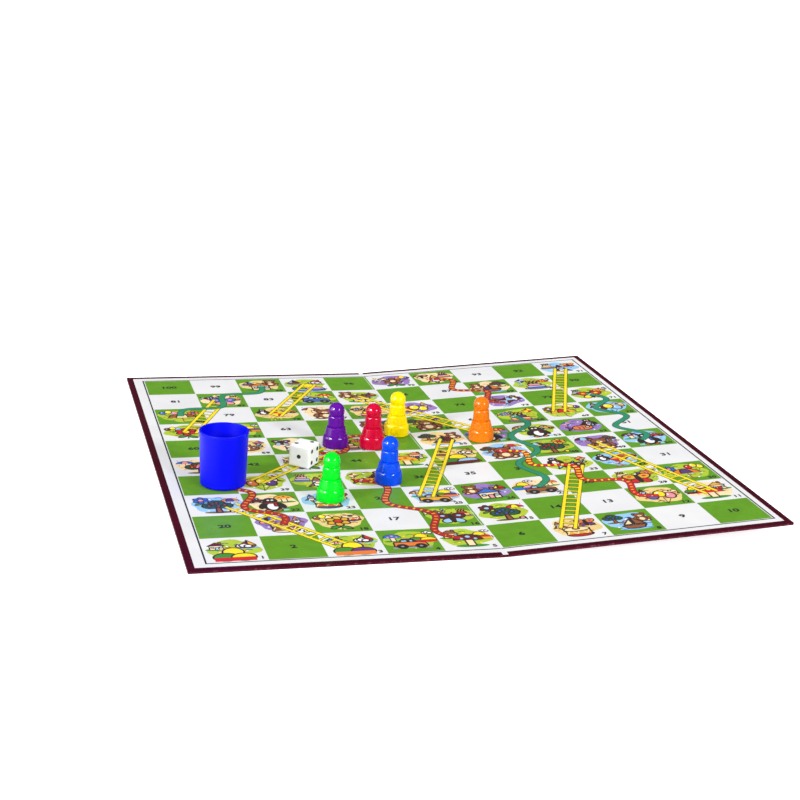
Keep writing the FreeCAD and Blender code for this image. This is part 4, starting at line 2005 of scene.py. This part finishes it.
@dataclass(frozen=True)
class Lamp:
    """One light that faces the board, with its side and height in degrees round from the front."""

    name: str
    azimuth: float
    elevation: float
    power: float
    width: float
    kind: str = "SUN"
    distance: float = 2.0

    def build(self) -> bpy.types.Object:
        """Hang the lamp.

        Returns:
            The light, its width in degrees for a sun and in metres for an area.
        """
        data = bpy.data.lights.new(self.name, self.kind)
        data.energy = self.power
        if self.kind == "SUN":
            data.angle = math.radians(self.width)
        else:
            data.size = self.width
        lamp = placed(self.name, data)
        way = outward(math.radians(self.azimuth), math.radians(self.elevation))
        turn = way.to_track_quat("Z", "Y").to_matrix().to_4x4()
        lamp.matrix_world = Matrix.Translation(way * self.distance) @ turn
        return lamp


@dataclass
class Studio:
    """Pale floor and far wall, soft lights and the camera at the photograph's angle."""

    azimuth: float = math.radians(-15.69)
    elevation: float = math.radians(17.35)
    roll: float = math.radians(3.34)
    distance: float = 1.1476
    aim: Point3 = (0.0143, 0.1116, 0.0007)
    lens: float = 69.66
    sensor: float = 36.0
    near: float = 0.05
    floor_size: float = 44.0
    floor_glow: float = 0.75
    floor_shine: float = 0.1
    floor_tints: tuple[Colour, Colour] = ((252, 252, 252), (249, 249, 250))
    floor_patch: float = 0.4
    wall_radius: float = 20.0
    wall_height: float = 12.0
    wall_tints: tuple[Colour, Colour] = ((255, 255, 255), (251, 251, 252))
    wall_patch: float = 9.0
    wall_glow: float = 1.0
    wall_sides: int = 64
    matt: float = 0.9
    world_light: float = 0.1
    sky: Lamp = Lamp("sky", 180, 60, 1500.0, 24.0, "AREA", 5.2)
    suns: tuple[Lamp, ...] = (
        Lamp("key", -61, 22, 1.9, 12), Lamp("fill", 29, 22, 1.5, 12), Lamp("front", -16, 9, 0.5, 30),
    )
    glints: tuple[Lamp, ...] = (
        Lamp("left_glint", -61, 22, 9.0, 20), Lamp("right_glint", 29, 22, 4.0, 18),
        Lamp("left_sheen", -84, 8, 7.0, 60),
    )

    def camera(self) -> None:
        """Place the camera."""
        back = outward(self.azimuth, self.elevation)
        right = (-back).cross(Vector((0, 0, 1))).normalized()
        up = right.cross(-back)
        turned_right = right * math.cos(self.roll) + up * math.sin(self.roll)
        turned_up = up * math.cos(self.roll) - right * math.sin(self.roll)
        data = bpy.data.cameras.new("camera")
        data.lens = self.lens
        data.sensor_width = self.sensor
        data.clip_start = self.near
        camera = placed("camera", data)
        turn = Matrix((turned_right, turned_up, back)).transposed().to_4x4()
        camera.matrix_world = Matrix.Translation(Vector(self.aim) + back * self.distance) @ turn
        bpy.context.scene.camera = camera

    def pale(self, name: str, mesh: Mesh, tints: tuple[Colour, Colour], patch: float,
             **sockets: float) -> bpy.types.Object:
        """Make a mesh of the set, in a pale finish that gives some light.

        Args:
            name: What it is.
            mesh: Its mesh.
            tints: Its colour and that of its soft patches.
            patch: Size of a patch.
            **sockets: More inputs of its shader.

        Returns:
            The object.
        """
        shader = Shader(f"pale_{name}")
        colour = shader.patches(*(linear(*tint) for tint in tints), patch)
        sockets.update(Base_Color=colour, Roughness=self.matt, Emission_Color=colour)
        mesh.materials.append(shader.finish([], **sockets))
        return placed(name, mesh)

    def floor(self) -> None:
        """Lay the pale floor."""
        half = self.floor_size / 2
        mesh = bpy.data.meshes.new("floor")
        mesh.from_pydata([(-half, -half, 0), (half, -half, 0), (half, half, 0), (-half, half, 0)], [],
                         [(0, 1, 2, 3)])
        floor = self.pale("floor", mesh, self.floor_tints, self.floor_patch,
                          Emission_Strength=self.floor_glow, Specular_IOR_Level=self.floor_shine)

    def wall(self) -> None:
        """Stand a pale round wall on the floor, far off, where a low view looks past the floor."""
        ring = bmesh.new()
        bmesh.ops.create_cone(
            ring, segments=self.wall_sides, radius1=self.wall_radius, radius2=self.wall_radius,
            depth=self.wall_height, matrix=Matrix.Translation((0, 0, self.wall_height / 2)),
        )
        mesh = bpy.data.meshes.new("wall")
        ring.to_mesh(mesh)
        ring.free()
        wall = self.pale("wall", mesh, self.wall_tints, self.wall_patch, Emission_Strength=self.wall_glow)
        wall.visible_diffuse = wall.visible_glossy = wall.visible_shadow = False

    def build(self, shiny: list[bpy.types.Object]) -> None:
        """Set up the whole studio.

        Args:
            shiny: The pieces that the glint lamps shine on.
        """
        world = bpy.data.worlds.new("studio")
        world.use_nodes = True
        world.node_tree.nodes["Background"].inputs["Color"].default_value = (1, 1, 1, 1)
        world.node_tree.nodes["Background"].inputs["Strength"].default_value = self.world_light
        bpy.context.scene.world = world
        bpy.context.scene.view_settings.view_transform = "Standard"
        self.floor()
        self.wall()
        sky = self.sky.build()
        # The sky hangs level and shines straight down
        sky.rotation_euler = (0, 0, 0)
        for lamp in [sky] + [sun.build() for sun in self.suns]:
            lamp.visible_glossy = False
        group = bpy.data.collections.new("shiny_pieces")
        for piece in shiny:
            group.objects.link(piece)
        for glint in [each.build() for each in self.glints]:
            glint.visible_diffuse = False
            glint.light_linking.receiver_collection = group
        self.camera()


def main() -> None:
    """Dress the frame, print the playing face and set up the studio."""
    _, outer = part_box("left_cover")
    board_field = PlayingField(Fold.from_frame(), outer.y)
    board = Board(board_field)
    board.dress_leaves()
    board.print_face()
    pieces = PlayingPieces(board_field.fold).build()
    Studio().build(pieces)
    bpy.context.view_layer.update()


if __name__ == "__main__":
    main()
